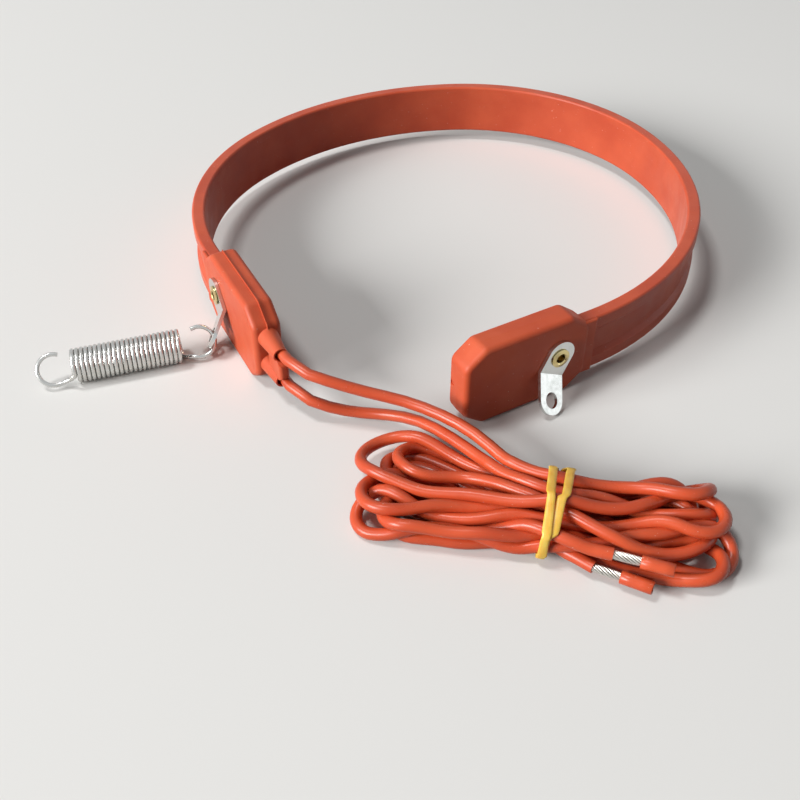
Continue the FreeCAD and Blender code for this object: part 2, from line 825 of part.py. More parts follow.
def lead_cavity_shapes():
    shapes = []
    far = size("neck_length") + size("block_length")
    for sign in (1, -1):
        shapes.append(pipe(rounded_route(lead_branch(sign)), bore))
        axis = Vector(crimp_start(), block_middle(-1), sign * size("relief_spread") / 2)
        sleeve = size("crimp_diameter") / 2 + size("lead_clearance")
        shapes.append(Part.makeCylinder(sleeve, size("crimp_length"), axis, Vector(1, 0, 0)))
        axis.x += size("crimp_length")
        shapes.append(
            Part.makeCylinder(
                size("lead_diameter") / 2 + size("lead_clearance"),
                far + size("web_length") - axis.x,
                axis,
                Vector(1, 0, 0),
            )
        )
    return [moved(shape, lead_frame) for shape in shapes]


lead_cavity = cavity("lead_cavity", lead_cavity_shapes())
lead_block = cut_block("lead_block", lead_form, lead_cavity)


def make_crimp(label, sign):
    """Crimp sleeve turned as a tube with two tool marks, open where the wire goes in."""
    body = new_body(label)
    sketch = new_sketch(body, label + "_profile", "XY_Plane")
    full = "crimp_diameter / 2"
    waist = "( crimp_diameter / 2 - crimp_groove )"
    hollow = "heater_wire_diameter / 2 + heater_clearance / 2"
    long = "crimp_length"
    outline(
        sketch,
        [
            ("crimp_bore_depth", "0"),
            (long, "0"),
            (long, full),
            ("5 * crimp_length / 6", full),
            ("3 * crimp_length / 4", waist),
            ("2 * crimp_length / 3", full),
            ("crimp_length / 3", full),
            ("crimp_length / 4", waist),
            ("crimp_length / 6", full),
            ("0", full),
            ("0", hollow),
            ("crimp_bore_depth", hollow),
        ],
    )
    turned = body.newObject("PartDesign::Revolution", label + "_turned")
    turned.Profile = sketch
    turned.ReferenceAxis = (sketch, ["H_Axis"])
    turned.Angle = 360.0
    place = Vector(crimp_start(), block_middle(-1), sign * size("relief_spread") / 2)
    body.Placement = lead_frame.multiply(Placement(place, Rotation()))
    doc.recompute()
    return body


upper_crimp = make_crimp("upper_crimp", 1)
lower_crimp = make_crimp("lower_crimp", -1)


# Eyelets, washers and tabs


def rivet_frame(which):
    """Frame on a block's outer face at the eyelet: Y outward, Z up."""
    side = 1 if which == "tail" else -1
    frame = tail_frame if which == "tail" else lead_frame
    outer = side * (size("belt_thickness") + size("block_cover"))
    spot = Vector(size("eyelet_station"), outer, size("eyelet_rise"))
    turn = Rotation() if side > 0 else Rotation(Vector(0, 0, 1), 180)
    return frame.multiply(Placement(spot, turn))


def make_eyelet(which):
    """Hollow rivet, turned about its own Y axis with a rolled flange at each end."""
    body = new_body(which + "_eyelet")
    sketch = new_sketch(body, which + "_eyelet_profile", "XY_Plane")
    inner = "eyelet_bore / 2"
    barrel = "( eyelet_bore / 2 + eyelet_wall )"
    flange = "eyelet_flange / 2"
    front = "( link_thickness + 2 * rivet_clearance )"
    back = "-1 * ( belt_thickness + block_cover + block_backing - eyelet_roll )"
    outline(
        sketch,
        [
            (inner, back + " - eyelet_roll"),
            (flange, back + " - eyelet_roll / 2"),
            (flange, back),
            (barrel, back),
            (barrel, front),
            (flange, front),
            (flange, front + " + eyelet_roll / 2"),
            (barrel, front + " + eyelet_roll"),
            (inner, front + " + eyelet_roll / 2"),
        ],
    )
    turned = body.newObject("PartDesign::Revolution", which + "_eyelet_turned")
    turned.Profile = sketch
    turned.ReferenceAxis = (sketch, ["V_Axis"])
    turned.Angle = 360.0
    body.Placement = rivet_frame(which)
    doc.recompute()
    return body


def make_washer(which):
    body = new_body(which + "_washer")
    sketch = new_sketch(body, which + "_washer_ring", "XZ_Plane")
    disc(sketch, "0", "0", "washer_diameter / 2")
    hole = "eyelet_bore / 2 + eyelet_wall + rivet_clearance"
    disc(sketch, "0", "0", hole)
    pad(body, which + "_washer_disc", sketch, "washer_thickness", backwards=True)
    depth = worked_out("belt_thickness + block_cover + block_backing - eyelet_roll")
    spot = Placement(Vector(0, -depth, 0), Rotation())
    body.Placement = rivet_frame(which).multiply(spot)
    doc.recompute()
    return body


def make_link(which):
    """Bent tab: flat head on the block, leg bent outward, both ends rounded."""
    body = new_body(which + "_link")
    sketch = new_sketch(body, which + "_link_side", "YZ_Plane")
    # The bend's inner corner shifts down the outer face by half the turn.
    inner_bend = "-link_drop + link_thickness * tan(link_bend / 2 )"
    foot_y = "link_leg * sin(link_bend )"
    foot_z = "-link_drop - link_leg * cos(link_bend )"
    outline(
        sketch,
        [
            ("0", "-link_drop"),
            (foot_y, foot_z),
            (
                foot_y + " + link_thickness * cos(link_bend )",
                foot_z + " + link_thickness * sin(link_bend )",
            ),
            ("link_thickness", inner_bend),
            ("link_thickness", "link_top"),
            ("0", "link_top"),
        ],
    )
    pad(body, which + "_link_plate", sketch, "link_width", symmetric=True)
    half = size("link_width") / 2
    top = size("link_top")
    foot = worked_out(foot_z) + size("link_thickness")
    for word, at_end in (("top", lambda p: p.z > top - CLOSE), ("foot", lambda p: p.z < foot)):
        fillet(
            body,
            which + "_link_" + word,
            lambda points: all(at_end(p) and abs(p.x) > half - CLOSE for p in points),
            "link_end_radius",
        )
    hole = new_sketch(body, which + "_link_eyelet_hole", "XZ_Plane")
    disc(hole, "0", "0", "eyelet_bore / 2 + eyelet_wall + rivet_clearance")
    pocket(body, which + "_link_eyelet_bore", hole)
    tilt = Placement(Vector(0, 0, 0), Rotation(Vector(1, 0, 0), size("link_bend")))
    hook = new_sketch(body, which + "_link_hook_hole", "XZ_Plane", turn=tilt)
    level = "-1 * ( link_drop * cos(link_bend ) + link_hole_station )"
    disc(hook, "0", level, "link_hole / 2")
    pocket(body, which + "_link_hook_bore", hook)
    swivel = size(which + "_swivel")
    turn = Rotation(Vector(0, 1, 0), -swivel if which == "tail" else swivel)
    lift = Placement(Vector(0, size("rivet_clearance"), 0), turn)
    body.Placement = rivet_frame(which).multiply(lift)
    doc.recompute()
    return body


tail_eyelet = make_eyelet("tail")
lead_eyelet = make_eyelet("lead")
tail_washer = make_washer("tail")
lead_washer = make_washer("lead")
tail_link = make_link("tail")
lead_link = make_link("lead")


# The spring


def spring_frame():
    """Frame at the hooked end's ring: X along the axis, away from the coil."""
    leg_way = Rotation(Vector(1, 0, 0), size("link_bend"))
    along = leg_way.multVec(Vector(0, 0, -1))
    hole = Vector(0, 0, -size("link_drop")) + along * size("link_hole_station")
    hole += leg_way.multVec(Vector(0, size("link_thickness") / 2, 0))
    hole = lead_link.Placement.multVec(hole)
    turn = Rotation(Vector(0, 0, 1), size("spring_azimuth")).multiply(
        Rotation(Vector(1, 0, 0), -size("spring_roll"))
    )
    mean = (size("spring_diameter") - size("spring_wire")) / 2
    rest = size("spring_diameter") / 2
    up = turn.multVec(Vector(0, 0, 1))
    lift = (hole.z - rest) / (mean * up.z)
    angle = math.asin(max(-1.0, min(1.0, lift)))
    ring = turn.multVec(Vector(mean * math.cos(angle), 0, mean * math.sin(angle)))
    print("hook passes the tab at %.1f degrees" % math.degrees(angle), hole)
    return Placement(hole - ring, turn)


def make_spring():
    """Close wound coil as a ribbed tube, an open hook carried on from each end."""
    body = new_body("spring")
    sketch = new_sketch(body, "coil_profile", "XZ_Plane")
    corners = []
    turns = int(size("spring_turns"))
    outer = "spring_diameter / 2"
    valley = "( spring_diameter / 2 - spring_wire / 2 )"
    start = "-1 * hook_reach"
    for i in range(turns):
        corners.append((start + " - ( %d ) * spring_wire" % i, valley))
        corners.append((start + " - ( %.2f ) * spring_wire" % (i + 0.25), outer))
        corners.append((start + " - ( %.2f ) * spring_wire" % (i + 0.75), outer))
    corners.append((start + " - spring_turns * spring_wire", valley))
    inner = "( spring_diameter / 2 - spring_wire )"
    corners.append((start + " - spring_turns * spring_wire", inner))
    corners.append((start, inner))
    outline(sketch, corners)
    turned = body.newObject("PartDesign::Revolution", "coil")
    turned.Profile = sketch
    turned.ReferenceAxis = (sketch, ["H_Axis"])
    turned.Angle = 360.0
    doc.recompute()
    hook_path(body, "lead_hook", 1)
    hook_path(body, "free_hook", -1)
    body.Placement = spring_frame()
    doc.recompute()
    return body


def hook_path(body, name, way):
    """Hook: out of the coil along its lower side, then round to an open tip on top."""
    mean = "( spring_diameter / 2 - spring_wire / 2 )"
    coil_end = "-1 * hook_reach" if way > 0 else "-1 * hook_reach - spring_turns * spring_wire"
    centre = "0" if way > 0 else "-2 * hook_reach - spring_turns * spring_wire"
    root = "%s - ( %d ) * hook_root" % (coil_end, way)
    path = new_sketch(body, name + "_path", "XZ_Plane")
    start = Vector(worked_out(root), -worked_out(mean), 0)
    corner = Vector(worked_out(centre), -worked_out(mean), 0)
    path.addGeometry(Part.LineSegment(start, corner), False)
    radius = worked_out(mean)
    circle = Part.Circle(Vector(corner.x, 0, 0), Vector(0, 0, 1), radius)
    sweep = math.radians(size("hook_sweep"))
    if way > 0:
        arc = Part.ArcOfCircle(circle, -math.pi / 2, -math.pi / 2 + sweep)
    else:
        arc = Part.ArcOfCircle(circle, -math.pi / 2 - sweep, -math.pi / 2)
    path.addGeometry(arc, False)
    fix_point(path, 0, 1, root, "-1 * " + mean)
    fix_point(path, 0, 2, centre, "-1 * " + mean)
    path.addConstraint(Sketcher.Constraint("Tangent", 0, 2, 1, 1 if way > 0 else 2))
    index = path.addConstraint(Sketcher.Constraint("Radius", 1, radius))
    path.setExpression("Constraints[%d]" % index, bound(mean))
    index = path.addConstraint(Sketcher.Constraint("Angle", 1, sweep))
    path.setExpression("Constraints[%d]" % index, bound("hook_sweep"))
    section = new_sketch(body, name + "_section", "YZ_Plane", root)
    disc(section, "0", "-1 * " + mean, "spring_wire / 2")
    doc.recompute()
    hook = body.newObject("PartDesign::AdditivePipe", name)
    hook.Profile = section
    hook.Spine = (path, ["Edge1", "Edge2"])
    doc.recompute()


spring = make_spring()


# The supply leads and their hank


def lead_points(sign, route):
    """A lead from its crimp, straight through its stub, then over the chosen route."""
    start = Vector(
        crimp_start() + size("crimp_length"),
        block_middle(-1),
        sign * size("relief_spread") / 2,
    )
    past = size("crimp_setback") + size("relief_length") + size("lead_exit")
    straight = [start, start + Vector(past, 0, 0)]
    return [lead_frame.multVec(point) for point in straight] + [Vector(*point) for point in route]


def make_lead(label, sign, route):
    return feature_from(label, tube(lead_points(sign, route), size("lead_diameter"), label))


lead_wire_a = make_lead("lead_wire_a", 1, LEAD_A_ROUTE)
lead_wire_b = make_lead("lead_wire_b", -1, LEAD_B_ROUTE)


def hank_frame(name):
    """Upright frame of one section of the hank: X across it, Y up, Z along it."""
    turn = Rotation(Vector(0, 0, 1), size("hank_azimuth"))
    middle = size(name + "_half_height") + size(name + "_lift")
    local = Vector(size(name + "_station"), size(name + "_shift"), middle)
    upright = Rotation(Vector(0, 1, 0), Vector(0, 0, 1), Vector(1, 0, 0), "XYZ")
    return Placement(Vector(*HANK_START) + turn.multVec(local), turn.multiply(upright))


def make_hank():
    """Closed solid of the hank's outer shape, lofted through upright ellipses."""
    sections = []
    for name, station, half_width, half_height, shift, lift in HANK_SECTIONS:
        ring = doc.addObject("Part::Ellipse", name)
        ring.setExpression("MajorRadius", bound(name + "_half_width"))
        ring.setExpression("MinorRadius", bound(name + "_half_height"))
        ring.Placement = hank_frame(name)
        sections.append(ring)
    hank = doc.addObject("Part::Loft", "lead_hank")
    hank.Label = "lead_hank"
    hank.Sections = sections
    hank.Solid = True
    hank.Ruled = False
    doc.recompute()
    return hank


lead_hank = make_hank()


def oval(half_width, half_height):
    """Flat face with an elliptic rim."""
    return Part.Face(Part.Wire([Part.Ellipse(Vector(0, 0, 0), half_width, half_height).toShape()]))


def make_band():
    """Rubber band wound twice round the hank's waist, the turns apart on top."""
    gap = size("band_clearance")
    thick = size("band_thickness")
    wide = size("hank_waist_half_width") + gap
    high = size("hank_waist_half_height") + gap
    width = size("band_width")
    frame = hank_frame("hank_waist")
    turns = []
    section = oval(wide + thick, high + thick).cut(oval(wide, high))
    for way in (1, -1):
        ring = section.extrude(Vector(0, 0, width))
        lean = Rotation(Vector(1, 0, 0), way * size("band_tilt"))
        foot = Placement(Vector(0, -high - thick, way * size("band_step")), lean)
        settle = Placement(Vector(0, high + thick, -width / 2), Rotation())
        ring.transformShape(frame.multiply(foot).multiply(settle).toMatrix(), True)
        turns.append(ring)
    corner = Vector(-width / 2, -high - thick, -width)
    crossing = Part.makeBox(width, thick / 2, 2 * width, corner)
    crossing.transformShape(frame.toMatrix(), True)
    return feature_from("rubber_band", turns[0].fuse([turns[1], crossing]))


rubber_band = make_band()


def make_stripped_end(letter):
    """Bare twisted strands out of the hank, and the insulation slug left on their tip."""
    start, azimuth = STRIPPED_ENDS[letter]
    turn = Rotation(Vector(0, 0, 1), azimuth).multiply(Rotation(Vector(0, 1, 0), 90))
    strands = doc.addObject("Part::Cylinder", "bare_strands_" + letter)
    strands.Label = "bare_strands_" + letter
    strands.setExpression("Radius", bound("conductor_diameter / 2"))
    strands.setExpression("Height", bound("strand_length + slug_length / 2"))
    strands.Placement = Placement(Vector(*start), turn)
    sleeve = doc.addObject("Part::Cylinder", "slug_outside_" + letter)
    sleeve.setExpression("Radius", bound("lead_diameter / 2"))
    sleeve.setExpression("Height", bound("slug_length"))
    along = turn.multVec(Vector(0, 0, size("strand_length")))
    sleeve.Placement = Placement(Vector(*start) + along, turn)
    hollow = doc.addObject("Part::Cylinder", "slug_bore_" + letter)
    hollow.setExpression("Radius", bound("conductor_diameter / 2 + lead_clearance"))
    hollow.setExpression("Height", bound("slug_length / 2"))
    hollow.Placement = sleeve.Placement
    slug = cut_block("insulation_slug_" + letter, sleeve, hollow)
    return [strands, slug]


stripped_ends = make_stripped_end("a") + make_stripped_end("b")


def check_and_export(pieces):
    doc.recompute()
    for item in doc.Objects:
        if "Invalid" in item.State or "Error" in item.State:
            raise ValueError("failed: " + item.Name + " " + str(item.State))
    os.makedirs("parts", exist_ok=True)
    for piece in pieces:
        shape = piece.Shape
        if shape.isNull() or not shape.isValid() or shape.Volume <= 0:
            raise ValueError("bad shape: " + piece.Label)
        shape.exportStep("parts/%s.step" % piece.Label)
        box = shape.optimalBoundingBox(False, False)
        print("%-18s solids %d volume %.2f" % (piece.Label, len(shape.Solids), shape.Volume))
        print("    x %.2f %.2f" % (box.XMin, box.XMax))
        print("    y %.2f %.2f" % (box.YMin, box.YMax))
        print("    z %.2f %.2f" % (box.ZMin, box.ZMax))


check_and_export(
    [
        belt,
        tail_block,
        lead_block,
        heating_wire,
        upper_crimp,
        lower_crimp,
        tail_eyelet,
        lead_eyelet,
        tail_washer,
        lead_washer,
        tail_link,
        lead_link,
        spring,
        lead_wire_a,
        lead_wire_b,
        lead_hank,
        rubber_band,
    ]
    + stripped_ends
)
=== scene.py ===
# %% [markdown]
# A silicone heating belt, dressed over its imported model. The model holds the true
# places and sizes, so every piece here is worked out from it or laid on it.

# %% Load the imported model
import json
import math

import bmesh
import bpy
import numpy as np
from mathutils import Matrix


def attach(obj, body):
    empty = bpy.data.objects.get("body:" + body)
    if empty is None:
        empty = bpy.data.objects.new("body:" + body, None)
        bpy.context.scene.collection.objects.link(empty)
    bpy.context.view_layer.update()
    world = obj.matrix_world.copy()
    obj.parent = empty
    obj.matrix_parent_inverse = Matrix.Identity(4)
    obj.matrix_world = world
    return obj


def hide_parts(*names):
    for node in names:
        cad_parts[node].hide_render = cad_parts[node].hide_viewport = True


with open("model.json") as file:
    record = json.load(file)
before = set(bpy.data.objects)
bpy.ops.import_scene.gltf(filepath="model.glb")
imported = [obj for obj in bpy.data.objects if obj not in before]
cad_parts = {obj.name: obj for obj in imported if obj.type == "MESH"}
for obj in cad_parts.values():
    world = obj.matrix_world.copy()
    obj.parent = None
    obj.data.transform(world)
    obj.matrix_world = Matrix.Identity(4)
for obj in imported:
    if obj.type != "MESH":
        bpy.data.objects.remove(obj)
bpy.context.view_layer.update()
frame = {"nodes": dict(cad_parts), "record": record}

MM = 0.001
print("packed nodes:", sorted(frame["nodes"]))

# %% [markdown]
# The camera stands where the photographer stood: straight in front, 41 degrees above
# the floor. A 45 mm lens on a 36 mm sensor gives the same perspective.


# %% Camera
CAMERA_PLACE = (-7.7 * MM, -233.9 * MM, 145.08 * MM)
CAMERA_TILT = math.radians(48.96)


def add_camera():
    """The camera, level from side to side and tilted down from the horizon."""
    data = bpy.data.cameras.new("camera")
    data.lens = 45.0
    data.sensor_width = 36.0
    data.clip_start = 0.01
    camera = bpy.data.objects.new("camera", data)
    camera.location = CAMERA_PLACE
    camera.rotation_euler = (CAMERA_TILT, 0.0, 0.0)
    bpy.context.scene.collection.objects.link(camera)
    bpy.context.scene.camera = camera
    print("camera at", [round(x, 4) for x in camera.location], "lens", data.lens, "mm")


add_camera()

# %% [markdown]
# Small helpers put arrays into Blender. One turns a grid of points into a mesh, closed
# round or along where asked. Another makes a round wire along a smooth spline, and the
# third reads that smooth line back, for what has to follow it.


# %% Arrays into meshes and curves
def mesh_piece(name, points, faces, smooth=True):
    """A mesh object from an (n, 3) array of points and an (m, 4) array of faces."""
    mesh = bpy.data.meshes.new(name)
    mesh.from_pydata(points.tolist(), [], faces.tolist())
    mesh.polygons.foreach_set("use_smooth", np.full(len(mesh.polygons), smooth))
    mesh.update()
    piece = bpy.data.objects.new(name, mesh)
    bpy.context.scene.collection.objects.link(piece)
    return piece


def grid_faces(rows, columns, round_rows=False, round_columns=False):
    """Quads between neighbours of a rows x columns grid, as an (m, 4) array."""
    i = np.arange(rows if round_rows else rows - 1)
    j = np.arange(columns if round_columns else columns - 1)
    i, j = np.meshgrid(i, j, indexing="ij")
    down = (i + 1) % rows
    right = (j + 1) % columns
    quads = np.stack(
        [i * columns + j, down * columns + j, down * columns + right, i * columns + right], -1
    )
    return quads.reshape(-1, 4)


def wire_curve(name, points, diameter, resolution=2, sides=4):
    """A round wire on one open NURBS spline with the given control points."""
    curve = bpy.data.curves.new(name, "CURVE")
    curve.dimensions = "3D"
    curve.bevel_depth = diameter / 2
    curve.bevel_resolution = sides
    curve.resolution_u = resolution
    curve.use_fill_caps = diameter > 0.0
    spline = curve.splines.new("NURBS")
    spline.points.add(len(points) - 1)
    four = np.ones((len(points), 4))
    four[:, :3] = points
    spline.points.foreach_set("co", four.ravel())
    spline.order_u = 3
    spline.use_endpoint_u = True
    piece = bpy.data.objects.new(name, curve)
    bpy.context.scene.collection.objects.link(piece)
    return piece


def smooth_line(points):
    """Points of the smooth spline over control points, read from a bare curve."""
    probe = wire_curve("probe", points, 0.0, resolution=6)
    mesh = bpy.data.meshes.new_from_object(probe)
    line = np.empty(len(mesh.vertices) * 3)
    mesh.vertices.foreach_get("co", line)
    curve = probe.data
    bpy.data.objects.remove(probe)
    bpy.data.curves.remove(curve)
    bpy.data.meshes.remove(mesh)
    return line.reshape(-1, 3)


# %% [markdown]
# The leads leave the block through two tapered stubs. The block's place is read from
# the swivel of its tab: the joint's axis points straight out of the block's face.

# %% The lead block's own directions
joints = {joint["name"]: joint for joint in frame["record"]["behaviour"]["joints"]}
lead_rivet = np.array(joints["lead_tab_swivel"]["pos_m"])
lead_out = np.array(joints["lead_tab_swivel"]["axis"])
lead_along = np.array([-lead_out[1], lead_out[0], 0.0])
UP = np.array([0.0, 0.0, 1.0])

# Stations count along the block from its neck.
RIVET_STATION = 10.4 * MM
OUTER_TO_MIDDLE = 3.3 * MM
BLOCK_MIDDLE = 10.0 * MM
STUB_SPREAD = 7.0 * MM
CRIMP_END = 32.0 * MM
STUB_END = 41.0 * MM
STRAIGHT_END = 45.6 * MM
LEAD_DIAMETER = 2.5 * MM


def in_lead_block(station, side):
    """A point on a stub's axis: metres from the neck, side +1 upper or -1 lower."""
    point = lead_rivet + lead_along * (station - RIVET_STATION) - lead_out * OUTER_TO_MIDDLE
    point[2] = BLOCK_MIDDLE + side * STUB_SPREAD / 2
    return point


exit_a = in_lead_block(STUB_END, 1)
exit_b = in_lead_block(STUB_END, -1)
print("leads leave at", exit_a.round(4), exit_b.round(4))

# %% [markdown]
# Between the stubs and the hank each lead runs free, over a few given points, in
# millimetres, that are the same as in the model. The upper lead stays on top, the lower
# one dips to the floor, and both climb on to the far side of the hank.

# %% Free runs of the leads
ROUTE_A = MM * np.array(
    [
        (-22.7, -74.6, 11.6),
        (-14.8, -76.0, 9.8),
        (-6.6, -77.6, 8.8),
        (1.0, -82.0, 8.8),
        (7.4, -87.6, 8.9),
        (12.6, -93.9, 8.0),
    ]
)
ROUTE_B = MM * np.array(
    [
        (-22.6, -74.0, 3.6),
        (-16.0, -74.2, 2.4),
        (-10.0, -75.6, 3.2),
        (-3.5, -79.9, 5.5),
        (3.0, -86.2, 6.2),
        (8.4, -92.2, 6.3),
    ]
)
free_a = np.vstack([in_lead_block(CRIMP_END, 1), in_lead_block(STRAIGHT_END, 1), ROUTE_A])
free_b = np.vstack([in_lead_block(CRIMP_END, -1), in_lead_block(STRAIGHT_END, -1), ROUTE_B])
print("free runs of", len(free_a), "and", len(free_b), "points")

# %% [markdown]
# The rest of each lead is folded to and fro about nine times and tied once. The hank has
# its own directions: station along it, across it towards the far side, and height. Its
# outline is the one that the model's solid is lofted through.

# %% The hank's own directions and outline
HANK_START = np.array([-19.0, -95.5, 0.0]) * MM
HANK_AZIMUTH = math.radians(-12.0)
HANK_ALONG = np.array([math.cos(HANK_AZIMUTH), math.sin(HANK_AZIMUTH), 0.0])
HANK_ACROSS = np.array([-HANK_ALONG[1], HANK_ALONG[0], 0.0])
HANK_AXES = np.array([HANK_ALONG, HANK_ACROSS, UP])

# Station, half width, half height, sideways shift and height of the middle, all in mm.
HANK_OUTLINE = np.array(
    [
        (0.0, 8.5, 2.6, 0.0, 2.8),
        (6.0, 13.0, 4.5, 1.5, 4.7),
        (21.0, 11.5, 5.5, 1.2, 5.7),
        (40.0, 9.2, 5.5, -2.8, 7.0),
        (54.0, 9.4, 5.4, -2.2, 5.8),
        (70.0, 11.0, 4.6, 0.8, 4.8),
        (77.0, 7.5, 2.6, 1.0, 2.8),
    ]
)


def hank_to_world(places):
    """Metres in the model's frame from (station, across, height) in millimetres."""
    return HANK_START + np.asarray(places) * MM @ HANK_AXES


def world_to_hank(points):
    """(station, across, height) in millimetres from metres in the model's frame."""
    return (np.asarray(points) - HANK_START) @ HANK_AXES.T / MM


print("hank from", HANK_START, "to", hank_to_world((HANK_OUTLINE[-1, 0], 0.0, 0.0)).round(4))

# %% [markdown]
# A person folds such a lead round two fingers, so no two loops are alike. Each loop's
# rough way is given here, three to six points for a bend, in the hank's own
# directions. The photograph shows about half of them; the hidden ones lie low in the
# middle.

# %% Rough ways through the hank
FOLDS_A = [
    (36, 4.6, 9.6), (41, 2.8, 10.6), (49, 4.2, 9.6), (57, 5.8, 9.4), (63, 9.0, 9.6),
    (69, 12.0, 9.2), (72.5, 12.8, 6.2), (68.5, 12.6, 3.4), (61, 9.6, 3.0), (50, 5.4, 4.0),
    (42, 3.6, 5.4), (34, 6.2, 5.0), (24, 10.4, 5.6), (15, 14.8, 5.4), (8, 16.2, 5.2),
    (1.6, 13.2, 5.2), (0.0, 6.8, 6.0), (4.4, 0.6, 7.2), (12, -2.0, 8.0), (20, -2.4, 8.2),
    (28, -2.4, 8.6), (39, -4.0, 9.8), (42, -3.6, 9.9), (48, -2.4, 9.8), (53, -1.8, 9.2),
    (61, 2.2, 8.4), (66, 6.6, 8.2), (71.5, 9.6, 7.6), (75.6, 7.0, 6.6), (74.4, 2.6, 6.2),
    (68, 0.8, 6.4), (57, -3.2, 7.2), (46, -4.6, 7.4), (41, -5.8, 7.2), (33, -7.2, 6.6),
    (21, -7.6, 5.6), (12, -6.4, 4.8), (4.5, -5.6, 4.4), (0.2, -8.4, 3.4), (3, -12.0, 2.2),
    (10, -12.4, 1.8), (21, -10.2, 1.6), (34, -9.4, 2.6), (42, -8.2, 4.0), (50, -6.6, 6.8),
    (59, -5.6, 7.0), (68, -2.2, 6.2), (73.4, 2.0, 5.4), (76.4, 2.0, 3.6), (76, -3.0, 1.8),
    (70, -5.2, 1.4), (58, -4.4, 1.4), (48, -3.4, 2.2), (42, -3.0, 3.2), (31, 1.4, 3.4),
    (20, 3.6, 4.6), (11, 3.8, 5.4), (4.4, 3.0, 5.0), (1.2, -1.2, 5.0), (4, -5.6, 5.6),
    (10, -7.2, 6.2), (19, -6.0, 6.6), (26, -3.6, 6.8), (35, -1.4, 7.6), (42, -0.6, 8.2),
    (48, 0.0, 7.0), (56, 1.8, 6.2), (64, 5.4, 5.4), (70.4, 6.4, 4.4), (73, 2.6, 3.4),
    (70, -1.6, 2.8), (64, -2.0, 3.0), (56, -1.0, 3.6), (48, -0.6, 4.8), (42, -0.4, 5.4),
    (32, 3.2, 3.2), (22, 6.2, 1.8), (12, 9.8, 1.5), (5.8, 8.6, 1.5), (3.6, 3.6, 1.5),
    (7.6, -1.0, 1.5), (16, -2.8, 1.6), (27, -4.4, 2.4), (36, -6.6, 4.4), (42, -8.8, 5.8),
    (49.5, -10.0, 6.2),
]
FOLDS_B = [
    (32, 3.6, 8.6), (38.5, -0.6, 10.4), (42, -0.8, 10.9), (49, 1.4, 9.6), (57, 2.4, 7.6),
    (64, 3.6, 6.6), (70.5, 4.2, 6.0), (73.6, 8.0, 4.4), (70, 11.0, 3.0), (63, 8.2, 2.0),
    (52, 4.6, 1.8), (42, 3.2, 3.4), (32, 7.6, 3.2), (21, 11.0, 3.8), (15, 13.4, 3.2),
    (9, 13.4, 3.2), (6.0, 9.6, 3.4), (8.4, 5.2, 4.6), (15, 5.2, 5.8), (22, 5.8, 6.8),
    (31, 2.4, 7.8), (36, 1.0, 8.4), (42, -2.2, 8.6), (47, -5.6, 8.4), (52, -8.0, 7.4),
    (58, -8.0, 6.4), (66, -6.0, 5.6), (72, -2.0, 4.6), (73.2, 3.6, 3.6), (69, 7.0, 2.6),
    (60, 4.6, 1.6), (50, 1.8, 1.6), (42, 0.6, 2.9), (32, 5.0, 1.6), (22, 9.8, 1.5),
    (13, 12.6, 1.5), (7, 11.4, 1.5), (5, 6.0, 1.6), (9, 1.6, 2.6), (17, 0.6, 4.2),
    (28, 1.0, 5.6), (36, 2.2, 6.0), (42, 5.2, 7.6), (50, 6.4, 7.0), (58, 7.4, 6.2),
    (65, 10.4, 5.6), (70.6, 9.0, 4.6), (71.4, 4.0, 3.4), (66, 1.0, 2.2), (57, -1.4, 1.4),
    (48, -3.6, 2.6), (42, -4.6, 4.6), (32, -3.4, 4.4), (22, -1.8, 3.4), (13, -0.4, 3.2),
    (7, -2.8, 3.0), (7.2, -8.0, 2.8), (14, -10.0, 3.2), (24, -9.4, 4.0), (34, -8.6, 4.4),
    (42, -6.8, 3.8), (50, -6.0, 3.2), (58, -5.0, 3.0), (66, -2.6, 3.0), (72, -2.6, 2.6),
    (75.4, -7.6, 1.8), (71, -12.4, 1.4), (64, -14.2, 1.4), (57, -12.6, 1.4), (48, -8.2, 1.6),
    (42, -6.5, 2.9), (32, -4.6, 2.0), (22, -2.4, 1.5), (13, -2.2, 1.4), (8.0, -7.0, 1.4),
    (12, -12.2, 1.4), (20, -12.6, 1.4), (30, -11.6, 1.5), (38, -9.6, 2.4), (44, -8.4, 2.6),
]

# Where the insulation ends, in metres, and the compass direction of the bare strands.
STRIPPED_A = (np.array([30.6, -116.6, 6.2]) * MM, math.radians(-20.0))
STRIPPED_B = (np.array([27.6, -116.6, 2.6]) * MM, math.radians(-26.0))
STRAND_LENGTH = 5.0 * MM
SLUG_LENGTH = 6.0 * MM


def direction(azimuth):
    """Level unit vector at an angle from the X axis."""
    return np.array([math.cos(azimuth), math.sin(azimuth), 0.0])


print("rough ways of", len(FOLDS_A), "and", len(FOLDS_B), "points")

# %% [markdown]
# Rough ways pass through each other, which rubber can't. So each lead is turned into a
# chain of beads 2 mm apart, and beads of different strands push each other away. Links
# keep their length, and the chords over three and five links stay long, so no bend
# closes to a kink. A weak pull to the rough way fades out, so the loops stay where they
# were chosen. A few crossings stay squeezed, as the last line of the output tells.
# Lengths are in millimetres here.

# %% Chains of beads
LINK = 2.0
CONTACT = 2.55
NEIGHBOURS = 4
# Links in a chord, its length, and whether it may be longer than that.
CHORDS = [(1, LINK, False), (3, 5.76, True), (5, 8.9, True)]
# Place of the tie along the hank, and how far it pulls the strands together.
WAIST = 41.0
WAIST_REACH = 5.0
# Loose strands may stand out from the model's outline by this much.
HANK_SLACK = 1.2
# Stretch of the hank in which strands are kept in its outline.
KEPT_STATIONS = (3.0, 74.0)
# Lowest middle line of a strand, and how much higher it lies in the tie.
FLOOR_CLEARANCE = 1.32
WAIST_LIFT = 1.5
